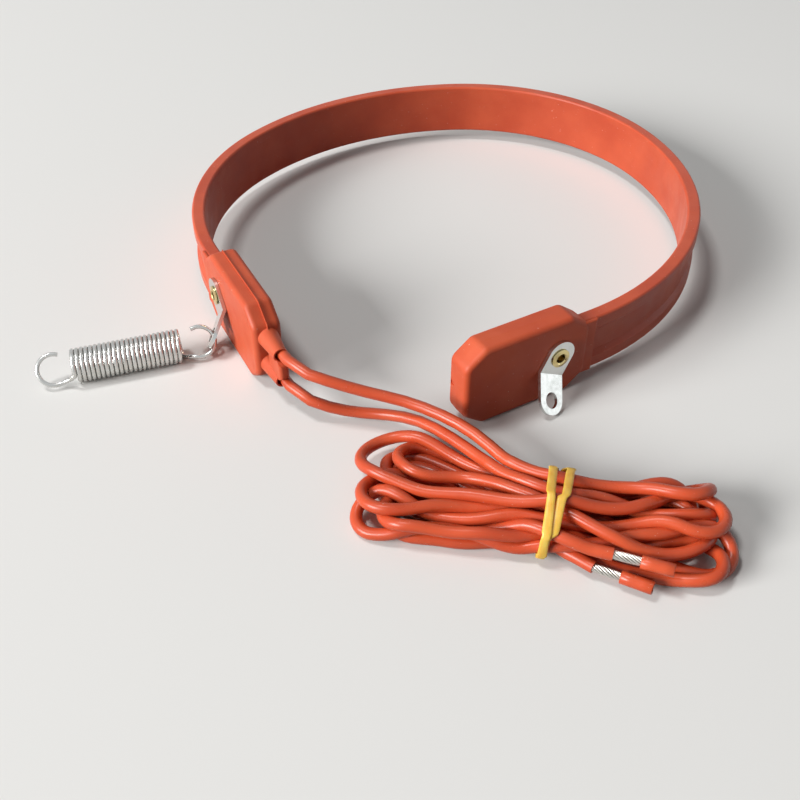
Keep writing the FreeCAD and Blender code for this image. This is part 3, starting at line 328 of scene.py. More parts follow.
# The settling: rounds, how often close pairs are looked up and how close they are,
# then how strongly a round corrects, smooths, draws to the rough way and sinks.
ROUNDS = 1200
LOOK_UP = 8
CLOSE_PAIR = 1.7 * CONTACT
STRENGTH = 1.3
SMOOTHING = 0.14
DRAW = 0.06
DRAW_ROUNDS = 0.85 * ROUNDS
SINK = 0.006
SQUEEZED = 2.2
CURVE_STEPS = 24


def beads(points, link=LINK):
    """Beads one link apart on a Catmull-Rom curve: each stretch of it is the cubic that
    passes two chosen points, with the chord of their outer neighbours as its slope."""
    ends = np.vstack([2 * points[0] - points[1], points, 2 * points[-1] - points[-2]])
    before, start, end, after = ends[:-3], ends[1:-2], ends[2:-1], ends[3:]
    u = np.linspace(0.0, 1.0, CURVE_STEPS, endpoint=False)[:, None, None]
    line = 0.5 * (
        2 * start
        + (end - before) * u
        + (2 * before - 5 * start + 4 * end - after) * u**2
        + (3 * start - before - 3 * end + after) * u**3
    )
    line = np.vstack([line.transpose(1, 0, 2).reshape(-1, 3), points[-1]])
    way = np.append(0.0, np.cumsum(np.linalg.norm(np.diff(line, axis=0), axis=1)))
    marks = np.linspace(0.0, way[-1], int(round(way[-1] / link)) + 1)
    return np.stack([np.interp(marks, way, line[:, k]) for k in range(3)], -1)


def correct(places, weight, first, second, length, only_apart):
    """Moves of two rows of beads towards a given distance, shared by their weights.

    With only_apart, pairs that are already further apart stay as they are. For beads
    p and q with weights v and w, the move of p is v (|q-p| - length) / (v + w) along
    q - p, and that of q is its opposite with w.
    """
    gap = places[second] - places[first]
    now = np.maximum(np.linalg.norm(gap, axis=1), 1e-6)
    total = weight[first] + weight[second]
    acts = total > 0.0
    if only_apart:
        acts &= now < length
    share = np.where(acts, (now - length) / now / np.maximum(total, 1.0), 0.0)
    return first[acts], second[acts], (share[:, None] * gap)[acts]


def keep_in_outline(places):
    """Beads outside the hank's outline are drawn half way back to it.

    The outline is |x/a|^n + |y/b|^n = 1, where n is 2 at the tied waist and 4 elsewhere.
    """
    station = places[:, 0]
    wide, high, shift, middle = [
        np.interp(station, HANK_OUTLINE[:, 0], HANK_OUTLINE[:, k]) for k in range(1, 5)
    ]
    loose = 1.0 - np.exp(-(((station - WAIST) / WAIST_REACH) ** 2))
    radius = LEAD_DIAMETER / MM / 2
    wide = wide - radius + HANK_SLACK * loose
    high = high - radius + HANK_SLACK / 3 + HANK_SLACK * loose
    power = 2.0 + 2.0 * loose
    x = np.abs(places[:, 1] - shift) / wide
    y = np.abs(places[:, 2] - middle) / high
    reach = (x**power + y**power) ** (1.0 / power)
    first, last = KEPT_STATIONS
    outside = (reach > 1.0) & (station > first) & (station < last)
    back = np.where(outside, 0.5 + 0.5 / np.maximum(reach, 1.0), 1.0)
    kept = places.copy()
    kept[:, 1] = shift + (places[:, 1] - shift) * back
    lowest = FLOOR_CLEARANCE + WAIST_LIFT * (1.0 - loose)
    kept[:, 2] = np.maximum(middle + (places[:, 2] - middle) * back, lowest)
    return kept


def settle(chains, posts):
    """Chains after the beads have pushed each other and the fixed posts out of the way."""
    sizes = [len(chain) for chain in chains]
    starts = np.cumsum([0] + sizes)
    places = np.vstack(chains + [posts])
    count = starts[-1]
    owner = np.repeat(np.arange(len(sizes) + 1), sizes + [len(posts)])
    number = np.concatenate([np.arange(n) for n in sizes + [len(posts)]])
    weight = np.zeros(len(places))
    for start, end in zip(starts[:-1], starts[1:]):
        weight[start + 2 : end - 3] = 1.0
    held = weight[:count] == 0.0
    goal = places[:count].copy()

    def chord_starts(links):
        """First beads of all chords over so many links, in both chains."""
        runs = [np.arange(start, end - links) for start, end in zip(starts[:-1], starts[1:])]
        return np.concatenate(runs)

    chords = [(chord_starts(links), links, length, longer) for links, length, longer in CHORDS]
    one, other = np.triu_indices(len(places), 1)
    strangers = owner[one] != owner[other]
    strangers |= np.abs(number[one] - number[other]) > NEIGHBOURS
    useful = strangers & (one < count) & (weight[one] + weight[other] > 0.0)
    one, other = one[useful], other[useful]
    for turn in range(ROUNDS):
        if turn % LOOK_UP == 0:
            close = np.linalg.norm(places[one] - places[other], axis=1) < CLOSE_PAIR
        moves = [correct(places, weight, one[close], other[close], CONTACT, True)]
        moves += [
            correct(places, weight, first, first + links, length, longer)
            for first, links, length, longer in chords
        ]
        total = np.zeros_like(places)
        shares = np.zeros(len(places))
        for first, second, move in moves:
            np.add.at(total, first, move * weight[first, None])
            np.add.at(total, second, -move * weight[second, None])
            np.add.at(shares, first, 1.0)
            np.add.at(shares, second, 1.0)
        places += STRENGTH * total / np.maximum(shares, 1.0)[:, None]
        moving = places[:count]
        for start, end in zip(starts[:-1], starts[1:]):
            chain = moving[start:end]
            inner = 0.5 * (chain[2:] + chain[:-2]) - chain[1:-1]
            chain[1:-1] += SMOOTHING * inner * weight[start + 1 : end - 1, None]
        fade = max(0.0, 1.0 - turn / DRAW_ROUNDS)
        drift = DRAW * fade * (goal - moving)
        drift[:, 2] -= SINK
        moving += drift * weight[:count, None]
        places[:count] = np.where(held[:, None], moving, keep_in_outline(moving))
    gaps = np.linalg.norm(places[one] - places[other], axis=1)
    squeezed = int((gaps < SQUEEZED).sum())
    print("pairs of beads under %.1f mm: %d, closest %.2f" % (SQUEEZED, squeezed, gaps.min()))
    return [places[start:end] for start, end in zip(starts[:-1], starts[1:])]


# %% [markdown]
# Both chains settle together, round the free runs and round the slugs on the stripped
# ends. The settled beads are control points of the same spline as the free run.

# %% The two leads
POST_STEP = 1.0 * MM


def chain_of(route, folds, stripped):
    """Beads from the last point of the free run to the end of the insulation."""
    ends = world_to_hank(np.array([route[-1], stripped[0]]))
    return beads(np.vstack([ends[0], np.array(folds), ends[1]]))


def held_places(free, stripped):
    """What stays put: the free run short of the hank, and the line of the slug."""
    line = world_to_hank(smooth_line(free))
    away = np.linalg.norm(line - line[-1], axis=1) > 2 * LINK
    place, azimuth = stripped
    reach = np.arange(POST_STEP, STRAND_LENGTH + SLUG_LENGTH, POST_STEP)
    return np.vstack([line[away], world_to_hank(place + np.outer(reach, direction(azimuth)))])


posts = np.vstack([held_places(free_a, STRIPPED_A), held_places(free_b, STRIPPED_B)])
chain_a, chain_b = settle(
    [chain_of(free_a, FOLDS_A, STRIPPED_A), chain_of(free_b, FOLDS_B, STRIPPED_B)], posts
)
points_a = np.vstack([free_a, hank_to_world(chain_a[1:])])
points_b = np.vstack([free_b, hank_to_world(chain_b[1:])])
lead_a = wire_curve("silicone_lead_a", points_a, LEAD_DIAMETER)
lead_b = wire_curve("silicone_lead_b", points_b, LEAD_DIAMETER)


def length_of(points):
    """Length of the smooth spline over control points."""
    return float(np.linalg.norm(np.diff(smooth_line(points), axis=0), axis=1).sum())


length_a = length_of(points_a)
length_b = length_of(points_b)
print("lead lengths: %.3f and %.3f m" % (length_a, length_b))

# %% [markdown]
# A rubber band holds the hank, wound round it twice. A stretched band takes the shortest
# way round what it ties, which is the hull of the strands at that place. For a direction
# in the section, the hull reaches as far as the farthest strand, and its rim is
# p = h n + h' t, with h the reach, n the direction, t the tangent and h' the slope of h.

# %% Rubber band
BAND_WIDTH = 1.7
BAND_THICKNESS = 0.5
BAND_STEPS = 288
BAND_SIDES = 14
# Place of the turns on top, how far they lean underneath, and half their distance.
BAND_TOP = 42.0
BAND_LEAN = 1.9
BAND_APART = 1.75
# Angle from the top at which the ribbon starts, and how flat its section is.
BAND_START = 0.6
BAND_FLATNESS = 0.6
# Strands this near to the waist carry the band.
BAND_REACH = 2.0
# Where the turns cross, one rides this share of the thickness over the other.
BAND_RIDE = 0.9
BAND_WRINKLE = 0.10


def band_piece():
    """Closed ribbon twice round the waist: apart on top, crossing underneath."""
    strands = world_to_hank(np.vstack([smooth_line(points_a), smooth_line(points_b)]))
    strands = strands[np.abs(strands[:, 0] - WAIST) < BAND_REACH]
    middle = np.array([strands[:, k].min() + strands[:, k].max() for k in (1, 2)]) / 2
    angle = np.linspace(0.0, 2 * np.pi, BAND_STEPS // 2, endpoint=False)
    outward = np.stack([np.sin(angle), np.cos(angle)], -1)
    reach = ((strands[:, 1:] - middle) @ outward.T).max(axis=0)
    reach += LEAD_DIAMETER / MM / 2 + BAND_THICKNESS / 2
    for _ in range(3):
        reach = (np.roll(reach, 1) + 2 * reach + np.roll(reach, -1)) / 4
    reach = np.tile(reach, 2)
    turn = np.linspace(0.0, 4 * np.pi, BAND_STEPS, endpoint=False) + BAND_START
    outward = np.stack([np.sin(turn), np.cos(turn)], -1)
    reach = np.interp(turn % (2 * np.pi), angle, reach[: len(angle)], period=2 * np.pi)
    slope = (np.roll(reach, -1) - np.roll(reach, 1)) / (2 * (turn[1] - turn[0]))
    onward = np.stack([np.cos(turn), -np.sin(turn)], -1)
    far_top = turn - BAND_START
    over = 0.5 + 0.5 * np.tanh(3.0 * np.sin(far_top / 2))
    lifted = reach + BAND_THICKNESS * BAND_RIDE * over
    rim = middle + lifted[:, None] * outward + slope[:, None] * onward
    station = BAND_TOP - BAND_LEAN * (1 - np.cos(far_top)) / 2
    half = np.cos(far_top / 2)
    station += BAND_APART * np.sign(half) * np.abs(half) ** 5
    around = np.linspace(0.0, 2 * np.pi, BAND_SIDES, endpoint=False)
    flat = np.sign(np.cos(around)) * np.abs(np.cos(around)) ** BAND_FLATNESS * BAND_WIDTH / 2
    thick = np.sin(around) * BAND_THICKNESS / 2
    wrinkle = 1.0 + BAND_WRINKLE * np.sin(9 * far_top) * np.sin(2.5 * far_top + 1.0)
    grid = np.empty((BAND_STEPS, len(around), 3))
    grid[..., 0] = station[:, None] + np.outer(wrinkle, flat)
    grid[..., 1:] = rim[:, None] + outward[:, None] * thick[None, :, None]
    faces = grid_faces(BAND_STEPS, len(around), True, True)
    return mesh_piece("rubber_band_turns", hank_to_world(grid.reshape(-1, 3)), faces)


rubber_band = band_piece()
band_corners = np.empty(len(rubber_band.data.vertices) * 3)
rubber_band.data.vertices.foreach_get("co", band_corners)
band_box = world_to_hank(band_corners.reshape(-1, 3))
print("band from", band_box.min(axis=0).round(1), "to", band_box.max(axis=0).round(1))

# %% [markdown]
# Each lead ends in five millimetres of bare strands, and a slug of insulation is left on
# their tip so that they don't fray. Fine tinned wires are laid round each other: wire
# after wire is the same helix, turned by its share of the circle.

# %% Stripped ends
STRAND_DIAMETER = 0.40
STRAND_LAY = 9.0
STRAND_STEPS = 40
STRAND_SIDES = 8
# The strands start this far inside the insulation, and spread a little where bare.
STRAND_ROOT = 0.6
STRAND_SPREAD = 0.16
# Layers of strands: how many, their radius, and the turn of the layer.
STRAND_LAYERS = [(3, 0.23, 0.0), (9, 0.62, 0.3)]
SLUG_BORE = 0.85
SLUG_LIP = 0.10
SLUG_SIDES = 36
# The cut is a little uneven, and the tube a little oval.
SLUG_CUT = 0.06
SLUG_OVAL = 0.03
SLUG_CREASE = math.radians(50.0)


def end_frame(stripped):
    """Directions at a stripped end: along the lead, sideways and up."""
    place, azimuth = stripped
    return place, direction(azimuth), direction(azimuth + math.pi / 2)


def strands_piece(name, stripped, twist):
    """Twelve round strands in two layers, each x d + r (cos v s + sin v u) with v ~ x."""
    place, along, across = end_frame(stripped)
    radius = np.concatenate([np.full(n, r) for n, r, _ in STRAND_LAYERS])
    phase = [np.arange(n) * 2 * np.pi / n + p for n, _, p in STRAND_LAYERS]
    phase = np.concatenate(phase) + twist
    x = np.linspace(-STRAND_ROOT, (STRAND_LENGTH + SLUG_LENGTH / 2) / MM - 0.2, STRAND_STEPS)
    spread = 1.0 + STRAND_SPREAD * np.sin(np.pi * np.clip(x / 5.0, 0.0, 1.0))
    angle = phase[:, None] + 2 * np.pi * x[None] / STRAND_LAY
    centre = radius[:, None] * spread[None]
    ring = np.linspace(0.0, 2 * np.pi, STRAND_SIDES, endpoint=False)
    side = (centre * np.cos(angle))[..., None] + STRAND_DIAMETER / 2 * np.cos(ring)
    lift = (centre * np.sin(angle))[..., None] + STRAND_DIAMETER / 2 * np.sin(ring)
    ahead = np.broadcast_to(x[None, :, None], side.shape)
    grid = place + MM * (
        ahead[..., None] * along + side[..., None] * across + lift[..., None] * UP
    )
    one = grid_faces(len(x), len(ring), round_columns=True)[:, ::-1]
    stride = len(x) * len(ring)
    faces = np.vstack([one + stride * k for k in range(len(phase))])
    piece = mesh_piece(name, grid.reshape(-1, 3), faces)
    close_ends(piece)
    return piece


def close_ends(piece):
    """Caps every open rim of a mesh with one face and turns all faces outward."""
    work = bmesh.new()
    work.from_mesh(piece.data)
    rims = [edge for edge in work.edges if edge.is_boundary]
    caps = bmesh.ops.holes_fill(work, edges=rims, sides=0)["faces"]
    bmesh.ops.recalc_face_normals(work, faces=work.faces)
    for cap in caps:
        cap.smooth = False
    work.to_mesh(piece.data)
    work.free()


def slug_piece(name, stripped, squash):
    """Cut tube, turned round its axis: outside, cut face, bore, and the other face."""
    place, along, across = end_frame(stripped)
    outer = LEAD_DIAMETER / MM / 2
    start = STRAND_LENGTH / MM
    end = start + SLUG_LENGTH / MM
    lip = SLUG_LIP
    profile = np.array(
        [
            (start, SLUG_BORE), (start, outer - lip), (start + lip, outer),
            (start + 2.0, outer), (end - 2.0, outer), (end - lip, outer), (end, outer - lip),
            (end, SLUG_BORE), (end - 2.5, SLUG_BORE), (end - 2.6, 0.02),
            (start + 2.9, 0.02), (start + 2.8, SLUG_BORE),
        ]
    )
    angle = np.linspace(0.0, 2 * np.pi, SLUG_SIDES, endpoint=False)
    x = np.repeat(profile[:, :1], len(angle), axis=1)
    x = x + SLUG_CUT * np.sin(2 * angle + squash) * (x > end - 0.2)
    side = profile[:, 1:] * np.cos(angle) * (1.0 + SLUG_OVAL * squash)
    lift = profile[:, 1:] * np.sin(angle) * (1.0 - SLUG_OVAL * squash)
    grid = place + MM * (x[..., None] * along + side[..., None] * across + lift[..., None] * UP)
    faces = grid_faces(len(profile), len(angle), True, True)
    piece = mesh_piece(name, grid.reshape(-1, 3), faces)
    close_ends(piece)
    return piece


strands_a = strands_piece("tinned_strands_a", STRIPPED_A, 0.2)
strands_b = strands_piece("tinned_strands_b", STRIPPED_B, 1.1)
slug_a = slug_piece("cut_slug_a", STRIPPED_A, 0.6)
slug_b = slug_piece("cut_slug_b", STRIPPED_B, -0.8)
for piece in (slug_a, slug_b):
    piece.data.set_sharp_from_angle(angle=SLUG_CREASE)
print("strands:", len(strands_a.data.polygons), "faces each end")

# %% [markdown]
# The extension spring pulls the two ends of the belt together. It is one wire: twenty
# four close turns, then a hook at each end where the wire leaves the coil's side and
# runs round in an open ring, level with the coil's axis. The turns are points on a helix
# of the wire's middle line, in millimetres and in the spring's own frame.

# %% Spring
SPRING_RING = np.array([-53.863, -51.375, 4.0]) * MM
SPRING_AZIMUTH = math.radians(18.3)
SPRING_ROLL = math.radians(-41.0)
SPRING_RADIUS = 3.5
SPRING_WIRE = 1.0
SPRING_TURNS = 24
COIL_LENGTH = 25.0
# Coil end to the centre of a hook's ring; the ring runs from one angle to the other.
HOOK_REACH = 3.8
HOOK_START = -113.0
HOOK_TIP = 115.0
HOOK_STEP = 12.0
# From the coil into the ring.
HOOK_LEAVE = np.array([(-3.95, 2.2, -2.55), (-3.5, 1.3, -2.8), (-2.6, 0.5, -3.0)])
POINTS_PER_TURN = 24
COIL_LEAVE = math.radians(42.0)


def spring_points():
    """Hook, helix and hook in the spring's frame: X along it, the open tips towards Z.

    Helix: (x, -r sin v, -r cos v), so v counts from the underside over the near side,
    and x grows by the same amount in each turn. Hook: centre + r (cos w, 0, sin w).
    """
    r = SPRING_RADIUS
    last = 2 * np.pi * SPRING_TURNS - COIL_LEAVE
    v = np.arange(COIL_LEAVE, last, 2 * np.pi / POINTS_PER_TURN)
    end = -HOOK_REACH - SPRING_WIRE / 2
    start = end - COIL_LENGTH + SPRING_WIRE
    x = np.linspace(start, end, len(v))
    helix = np.stack([x, -r * np.sin(v), -r * np.cos(v)], -1)
    w = np.radians(np.arange(HOOK_START, HOOK_TIP + 1.0, HOOK_STEP))
    ring = np.stack([r * np.cos(w), 0 * w, r * np.sin(w)], -1)
    hook = np.vstack([HOOK_LEAVE, ring])
    far_centre = np.array([-2 * HOOK_REACH - COIL_LENGTH, 0.0, 0.0])
    far_hook = far_centre + hook[::-1] * (-1.0, -1.0, 1.0)
    return np.vstack([far_hook, helix, hook])


def turned(points):
    """Spring's frame into the model's: rolled about its axis, then set to its azimuth."""
    c, s = math.cos(SPRING_ROLL), math.sin(SPRING_ROLL)
    roll = np.array([(1.0, 0.0, 0.0), (0.0, c, -s), (0.0, s, c)])
    c, s = math.cos(SPRING_AZIMUTH), math.sin(SPRING_AZIMUTH)
    head = np.array([(c, -s, 0.0), (s, c, 0.0), (0.0, 0.0, 1.0)])
    return SPRING_RING + points @ (head @ roll).T * MM


spring_piece = wire_curve("spring_wire", turned(spring_points()), SPRING_WIRE * MM, 2, 3)
print("spring: %d turns, %d control points" % (SPRING_TURNS, len(spring_points())))

# %% [markdown]
# Materials come next. Colours are written as screen hex values and turned to the
# linear values that a shader wants. One helper adds a node with its settings.


# %% Colour and node helpers
def linear(code):
    """Linear red, green, blue and alpha of a screen colour such as C9583D."""
    values = np.array([int(code[k : k + 2], 16) for k in (0, 2, 4)]) / 255.0
    low = values / 12.92
    high = ((values + 0.055) / 1.055) ** 2.4
    return (*np.where(values <= 0.04045, low, high).tolist(), 1.0)


def node(tree, kind, settings=(), inputs=(), links=()):
    """Add one shader node; links are (input name, source node, source output)."""
    new = tree.nodes.new(kind)
    for key, value in dict(settings).items():
        setattr(new, key, value)
    for key, value in dict(inputs).items():
        new.inputs[key].default_value = value
    for key, source, output in links:
        tree.links.new(source.outputs[output], new.inputs[key])
    return new


def material(name, code, roughness, metallic=0.0, **extra):
    """A Principled material; extra holds further socket values by their names."""
    new = bpy.data.materials.new(name)
    new.use_nodes = True
    shader = new.node_tree.nodes["Principled BSDF"]
    shader.inputs["Base Color"].default_value = linear(code)
    shader.inputs["Roughness"].default_value = roughness
    shader.inputs["Metallic"].default_value = metallic
    for key, value in extra.items():
        shader.inputs[key.replace("_", " ")].default_value = value
    return new


def dress(piece, finish):
    """Give an object one material, in every slot that its mesh has."""
    if not piece.data.materials:
        piece.data.materials.append(finish)
    for item in piece.material_slots:
        item.material = finish


def noise(tree, size_mm, detail=3.0, stretch=(1.0, 1.0, 1.0)):
    """Cloud pattern on Object coordinates; its features are about size_mm across."""
    where = node(tree, "ShaderNodeTexCoord")
    scaled = node(
        tree,
        "ShaderNodeMapping",
        inputs={"Scale": stretch},
        links=[("Vector", where, "Object")],
    )
    return node(
        tree,
        "ShaderNodeTexNoise",
        inputs={"Scale": 1.0 / (size_mm * MM), "Detail": detail},
        links=[("Vector", scaled, "Vector")],
    )


def ramp(tree, source, low, high, start, end):
    """Map a pattern between two levels on to a value from start to end, and clamp it."""
    return node(
        tree,
        "ShaderNodeMapRange",
        inputs={"From Min": low, "From Max": high, "To Min": start, "To Max": end},
        links=[("Value", source, 0)],
    )


def two_colours(tree, share, first, second):
    """Mix two colours by a value: 0 gives the first, which is a hex code or a node."""
    mix = node(tree, "ShaderNodeMix", settings={"data_type": "RGBA"}, links=[(0, share, 0)])
    for socket, colour in ((6, first), (7, second)):
        if isinstance(colour, str):
            mix.inputs[socket].default_value = linear(colour)
        else:
            tree.links.new(colour.outputs[2], mix.inputs[socket])
    return mix


def relief(tree, source, depth_mm, under=None):
    """Bump of a real depth in millimetres, laid over another bump if there is one."""
    bump = node(
        tree,
        "ShaderNodeBump",
        inputs={"Strength": 1.0, "Distance": depth_mm * MM},
        links=[("Height", source, 0)],
    )
    if under:
        tree.links.new(under.outputs["Normal"], bump.inputs["Normal"])
    return bump


# %% [markdown]
# Silicone rubber is matt, faintly cloudy and a little uneven in colour. The mould's
# spark-eroded skin shows as a fine texture about 0.3 mm across. Extruded silicone has
# drawn lines along its length instead, so across the strip they follow the height. Its
# skin also holds dust: tiny pale specks, here a little larger than real so they show.


# %% Silicone
SILICONE_IOR = 1.41


def silicone(name, code, deeper, roughness, grain_mm, grain_depth, lines=0.0, dust=0.76):
    """Silicone: slow colour drift, fine skin, a little light scatter and some dust."""
    new = material(
        name,
        code,
        roughness,
        IOR=SILICONE_IOR,
        Subsurface_Weight=0.18,
        Subsurface_Radius=(1.0, 0.25, 0.12),
        Subsurface_Scale=1.0 * MM,
    )
    tree = new.node_tree
    shader = tree.nodes["Principled BSDF"]
    drift = ramp(tree, noise(tree, 11.0, 4.0), 0.35, 0.65, 0.0, 1.0)
    body = two_colours(tree, drift, code, deeper)
    specks = ramp(tree, noise(tree, 0.4, 1.0), dust, dust + 0.05, 0.0, 0.5)
    dusty = two_colours(tree, specks, body, "F0D9CC")
    tree.links.new(dusty.outputs[2], shader.inputs["Base Color"])
    sheen = ramp(tree, noise(tree, 4.0, 3.0), 0.3, 0.7, roughness - 0.05, roughness + 0.07)
    tree.links.new(sheen.outputs[0], shader.inputs["Roughness"])
    skin = relief(tree, noise(tree, grain_mm), grain_depth)
    if lines:
        skin = relief(tree, noise(tree, 6.0, 2.0, (1.0, 1.0, 14.0)), lines, skin)
    tree.links.new(skin.outputs["Normal"], shader.inputs["Normal"])
    return new


moulded_silicone = silicone("moulded_silicone", "C65634", "B94A2B", 0.50, 0.35, 0.020)
extruded_silicone = silicone("extruded_silicone", "C45434", "B7482B", 0.42, 0.5, 0.010, 0.03)
lead_silicone = silicone("lead_silicone", "C9532F", "BC4828", 0.30, 0.45, 0.008)

# %% [markdown]
# Metals keep the default index of refraction. What tells them apart is their colour and
# how sharply they mirror the room. Plate over a punched tab is bright with faint drawing
# scratches; spring wire carries very faint fine scratches; rolled brass is warm; tinned
# strands are soft and grey-white.


# %% Metals
def metal(name, code, tarnish, rough, spread, scratch_mm, depth, stretch=(1.0, 1.0, 1.0)):
    """Metal with uneven tarnish, an uneven polish and fine scratches of a real depth."""
    new = material(name, code, rough, metallic=1.0)
    tree = new.node_tree
    shader = tree.nodes["Principled BSDF"]
    stain = ramp(tree, noise(tree, 2.2, 4.0), 0.45, 0.75, 0.0, 0.6)
    tree.links.new(
        two_colours(tree, stain, code, tarnish).outputs[2], shader.inputs["Base Color"]
    )
    polish = ramp(tree, noise(tree, 1.1, 5.0), 0.3, 0.7, rough - spread, rough + spread)
    tree.links.new(polish.outputs[0], shader.inputs["Roughness"])
    skin = relief(tree, noise(tree, scratch_mm, 4.0, stretch), depth)
    tree.links.new(skin.outputs["Normal"], shader.inputs["Normal"])
    return new


nickel_plate = metal(
    "nickel_plated_steel", "D3D6D4", "B9BDB9", 0.20, 0.06, 0.8, 0.004, (1.0, 1.0, 6.0)
)
spring_steel = metal("drawn_spring_steel", "CECECB", "BEBAB2", 0.27, 0.03, 0.6, 0.001)
rolled_brass = metal("rolled_brass", "DCCB94", "C2A968", 0.24, 0.07, 0.6, 0.006)
tinned_copper = metal("tinned_copper", "D2CFC8", "B8AFA2", 0.33, 0.08, 0.3, 0.006)

# %% [markdown]
# The heating wire's sleeve is braided glass fibre, off-white and crossed at a slant. The
# rubber band is natural rubber: amber, a little clear, cut from a tube, so its flat
# sides carry fine cut lines and its colour varies a little at random from place to place.

# %% Glass sleeve and rubber band
BRAID_STEP = 0.5 * MM

glass_sleeve = material("glass_fibre_sleeve", "DDD6C8", 0.75)
sleeve_tree = glass_sleeve.node_tree
braid = node(
    sleeve_tree,
    "ShaderNodeTexWave",
    settings={"wave_type": "BANDS", "bands_direction": "DIAGONAL"},
    inputs={"Scale": 0.5 / BRAID_STEP, "Distortion": 1.0},
)
where = node(sleeve_tree, "ShaderNodeTexCoord")
sleeve_tree.links.new(where.outputs["Object"], braid.inputs["Vector"])
sleeve_skin = relief(sleeve_tree, braid, 0.03)
sleeve_shader = sleeve_tree.nodes["Principled BSDF"]
sleeve_tree.links.new(sleeve_skin.outputs["Normal"], sleeve_shader.inputs["Normal"])

latex = material(
    "natural_rubber",
    "F0C04C",
    0.36,
    Subsurface_Weight=0.5,
    Subsurface_Radius=(1.0, 0.6, 0.2),
    Subsurface_Scale=1.0 * MM,
    Transmission_Weight=0.15,
)
latex_tree = latex.node_tree
cut_lines = noise(latex_tree, 0.7, 3.0, (2.5, 0.6, 0.6))
latex_skin = relief(latex_tree, cut_lines, 0.05)
latex_share = ramp(latex_tree, noise(latex_tree, 2.5, 3.0), 0.35, 0.65, 0.0, 1.0)
latex_colour = two_colours(latex_tree, latex_share, "F6CB5C", "EBB63F")
latex_shader = latex_tree.nodes["Principled BSDF"]
latex_tree.links.new(latex_colour.outputs[2], latex_shader.inputs["Base Color"])
latex_tree.links.new(latex_skin.outputs["Normal"], latex_shader.inputs["Normal"])

# %% [markdown]
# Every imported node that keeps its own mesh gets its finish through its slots.

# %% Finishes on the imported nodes
FINISHES = {
    "belt": extruded_silicone,
    "tail_block": moulded_silicone,
    "lead_block": moulded_silicone,
    "heating_wire": glass_sleeve,
    "upper_crimp": tinned_copper,
    "lower_crimp": tinned_copper,
    "tail_eyelet": rolled_brass,
    "lead_eyelet": rolled_brass,
    "tail_washer": nickel_plate,
    "lead_washer": nickel_plate,
    "tail_link": nickel_plate,
    "lead_link": nickel_plate,
    "spring": spring_steel,
    "lead_hank": lead_silicone,
    "lead_wire_a": lead_silicone,
    "lead_wire_b": lead_silicone,
    "rubber_band": latex,
    "bare_strands_a": tinned_copper,
    "bare_strands_b": tinned_copper,
    "insulation_slug_a": lead_silicone,
    "insulation_slug_b": lead_silicone,
}
for label, finish in FINISHES.items():
    dress(frame["nodes"][label], finish)
print("finishes on", len(FINISHES), "nodes")

# %% [markdown]
# Each new piece rides on a imported body and stands for the imported solid that it refines.
# The leads stand for their tubes and for the closed hank.

# %% What each new piece rides on and replaces
NEW_PIECES = [
    (lead_a, lead_silicone, "band", "silicone_lead", ("lead_wire_a", "lead_hank")),
    (lead_b, lead_silicone, "band", "silicone_lead", ("lead_wire_b",)),
    (rubber_band, latex, "band", "latex_band", ("rubber_band",)),
    (strands_a, tinned_copper, "band", "tinned_copper", ("bare_strands_a",)),
    (strands_b, tinned_copper, "band", "tinned_copper", ("bare_strands_b",)),
    (slug_a, lead_silicone, "band", "silicone_lead", ("insulation_slug_a",)),
    (slug_b, lead_silicone, "band", "silicone_lead", ("insulation_slug_b",)),
    (spring_piece, spring_steel, "spring", "spring_steel", ("spring",)),
]
for piece, finish, body, slot, stands_for in NEW_PIECES:
    dress(piece, finish)
    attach(piece, body)
    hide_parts(*stands_for)

# %% [markdown]
# A plain pale floor and the light of a room. A wide window stands low on the left, a
# little to the front, so faces that look left are bright and those that look right are
# deep. A small lamp overhead throws the short soft shadows to the right. A weak card low
# on the right is what the lower leg of the tail's tab mirrors. Floor and world look pale
# to the camera and in mirrors, but throw back less light than they show, so the shadows
# keep their depth.


# %% Floor, light and world
FLOOR_SIZE = 6.0
FLOOR_COLOUR = "E2E1DE"
FLOOR_BOUNCE = "807F7D"
WORLD_FILL = 0.12
WORLD_SEEN = 0.80


def either(tree, first, output, second, other):
    """The larger of two values, so 1 where either kind of ray looks."""
    return node(
        tree,
        "ShaderNodeMath",
        settings={"operation": "MAXIMUM"},
        links=[(0, first, output), (1, second, other)],
    )


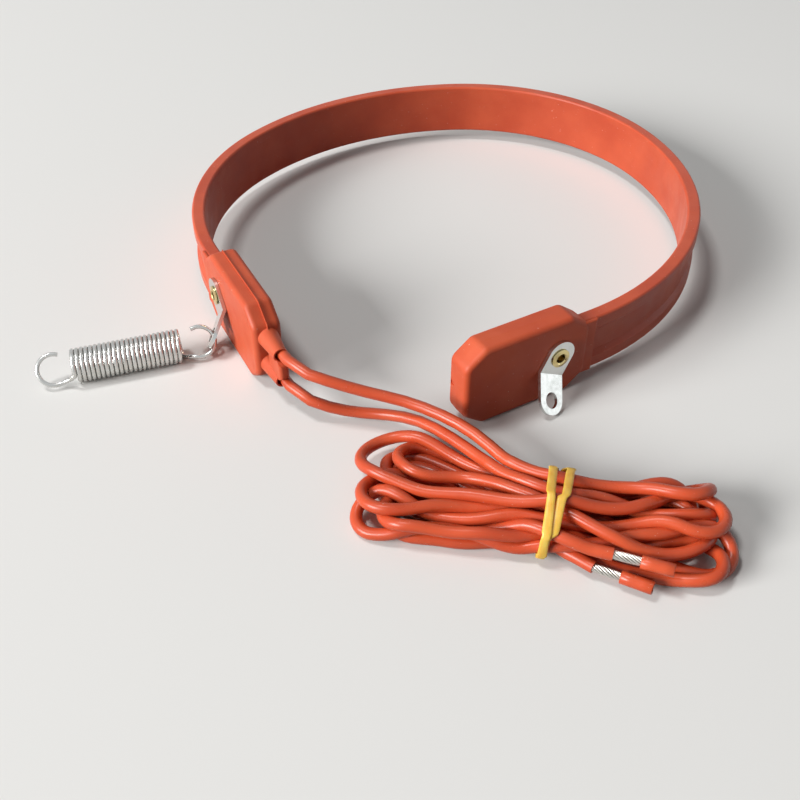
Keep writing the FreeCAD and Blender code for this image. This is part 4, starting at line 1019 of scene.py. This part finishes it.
def looked_at(tree):
    """1 for the rays of the eye and of mirrors, 0 for those that carry light around."""
    path = node(tree, "ShaderNodeLightPath")
    seen = either(tree, path, "Is Camera Ray", path, "Is Glossy Ray")
    return either(tree, seen, 0, path, "Is Transmission Ray")


def add_floor():
    """A square floor at height 0, paler to the camera and to mirrors than to the light."""
    far = FLOOR_SIZE / 2
    points = np.array([(-far, -far, 0.0), (far, -far, 0.0), (far, far, 0.0), (-far, far, 0.0)])
    floor = mesh_piece("floor", points, np.array([(0, 1, 2, 3)]), smooth=False)
    finish = material("pale_floor", FLOOR_COLOUR, 0.75)
    tree = finish.node_tree
    colour = two_colours(tree, looked_at(tree), FLOOR_BOUNCE, FLOOR_COLOUR)
    tree.links.new(colour.outputs[2], tree.nodes["Principled BSDF"].inputs["Base Color"])
    dress(floor, finish)


def add_area(name, place, target, size, power):
    """Rectangular light at a place, turned towards a target.

    A lamp looks down its -Z: it tilts by atan2(level run, drop) and turns to the target.
    """
    data = bpy.data.lights.new(name, "AREA")
    data.shape = "RECTANGLE"
    data.size, data.size_y = size
    data.energy = power
    light = bpy.data.objects.new(name, data)
    light.location = place
    way = np.array(target) - np.array(place)
    tilt = math.atan2(math.hypot(way[0], way[1]), -way[2])
    light.rotation_euler = (tilt, 0.0, math.atan2(way[1], way[0]) - math.pi / 2)
    bpy.context.scene.collection.objects.link(light)


add_floor()
add_area("window_light", (-2.25, -1.25, 1.08), (0.0, -0.03, 0.0), (1.40, 1.00), 112.0)
add_area("ceiling_light", (-0.80, -0.04, 2.00), (0.0, -0.03, 0.0), (0.40, 0.40), 16.0)
add_area("right_card", (0.75, -0.02, 0.10), (0.0, -0.06, 0.0), (0.50, 0.16), 0.22)

world = bpy.data.worlds.new("studio")
world.use_nodes = True
sky = world.node_tree.nodes["Background"]
sky.inputs["Color"].default_value = linear("F2F4F6")
level = ramp(world.node_tree, looked_at(world.node_tree), 0.0, 1.0, WORLD_FILL, WORLD_SEEN)
world.node_tree.links.new(level.outputs[0], sky.inputs["Strength"])
bpy.context.scene.world = world
bpy.context.scene.view_settings.view_transform = "Standard"
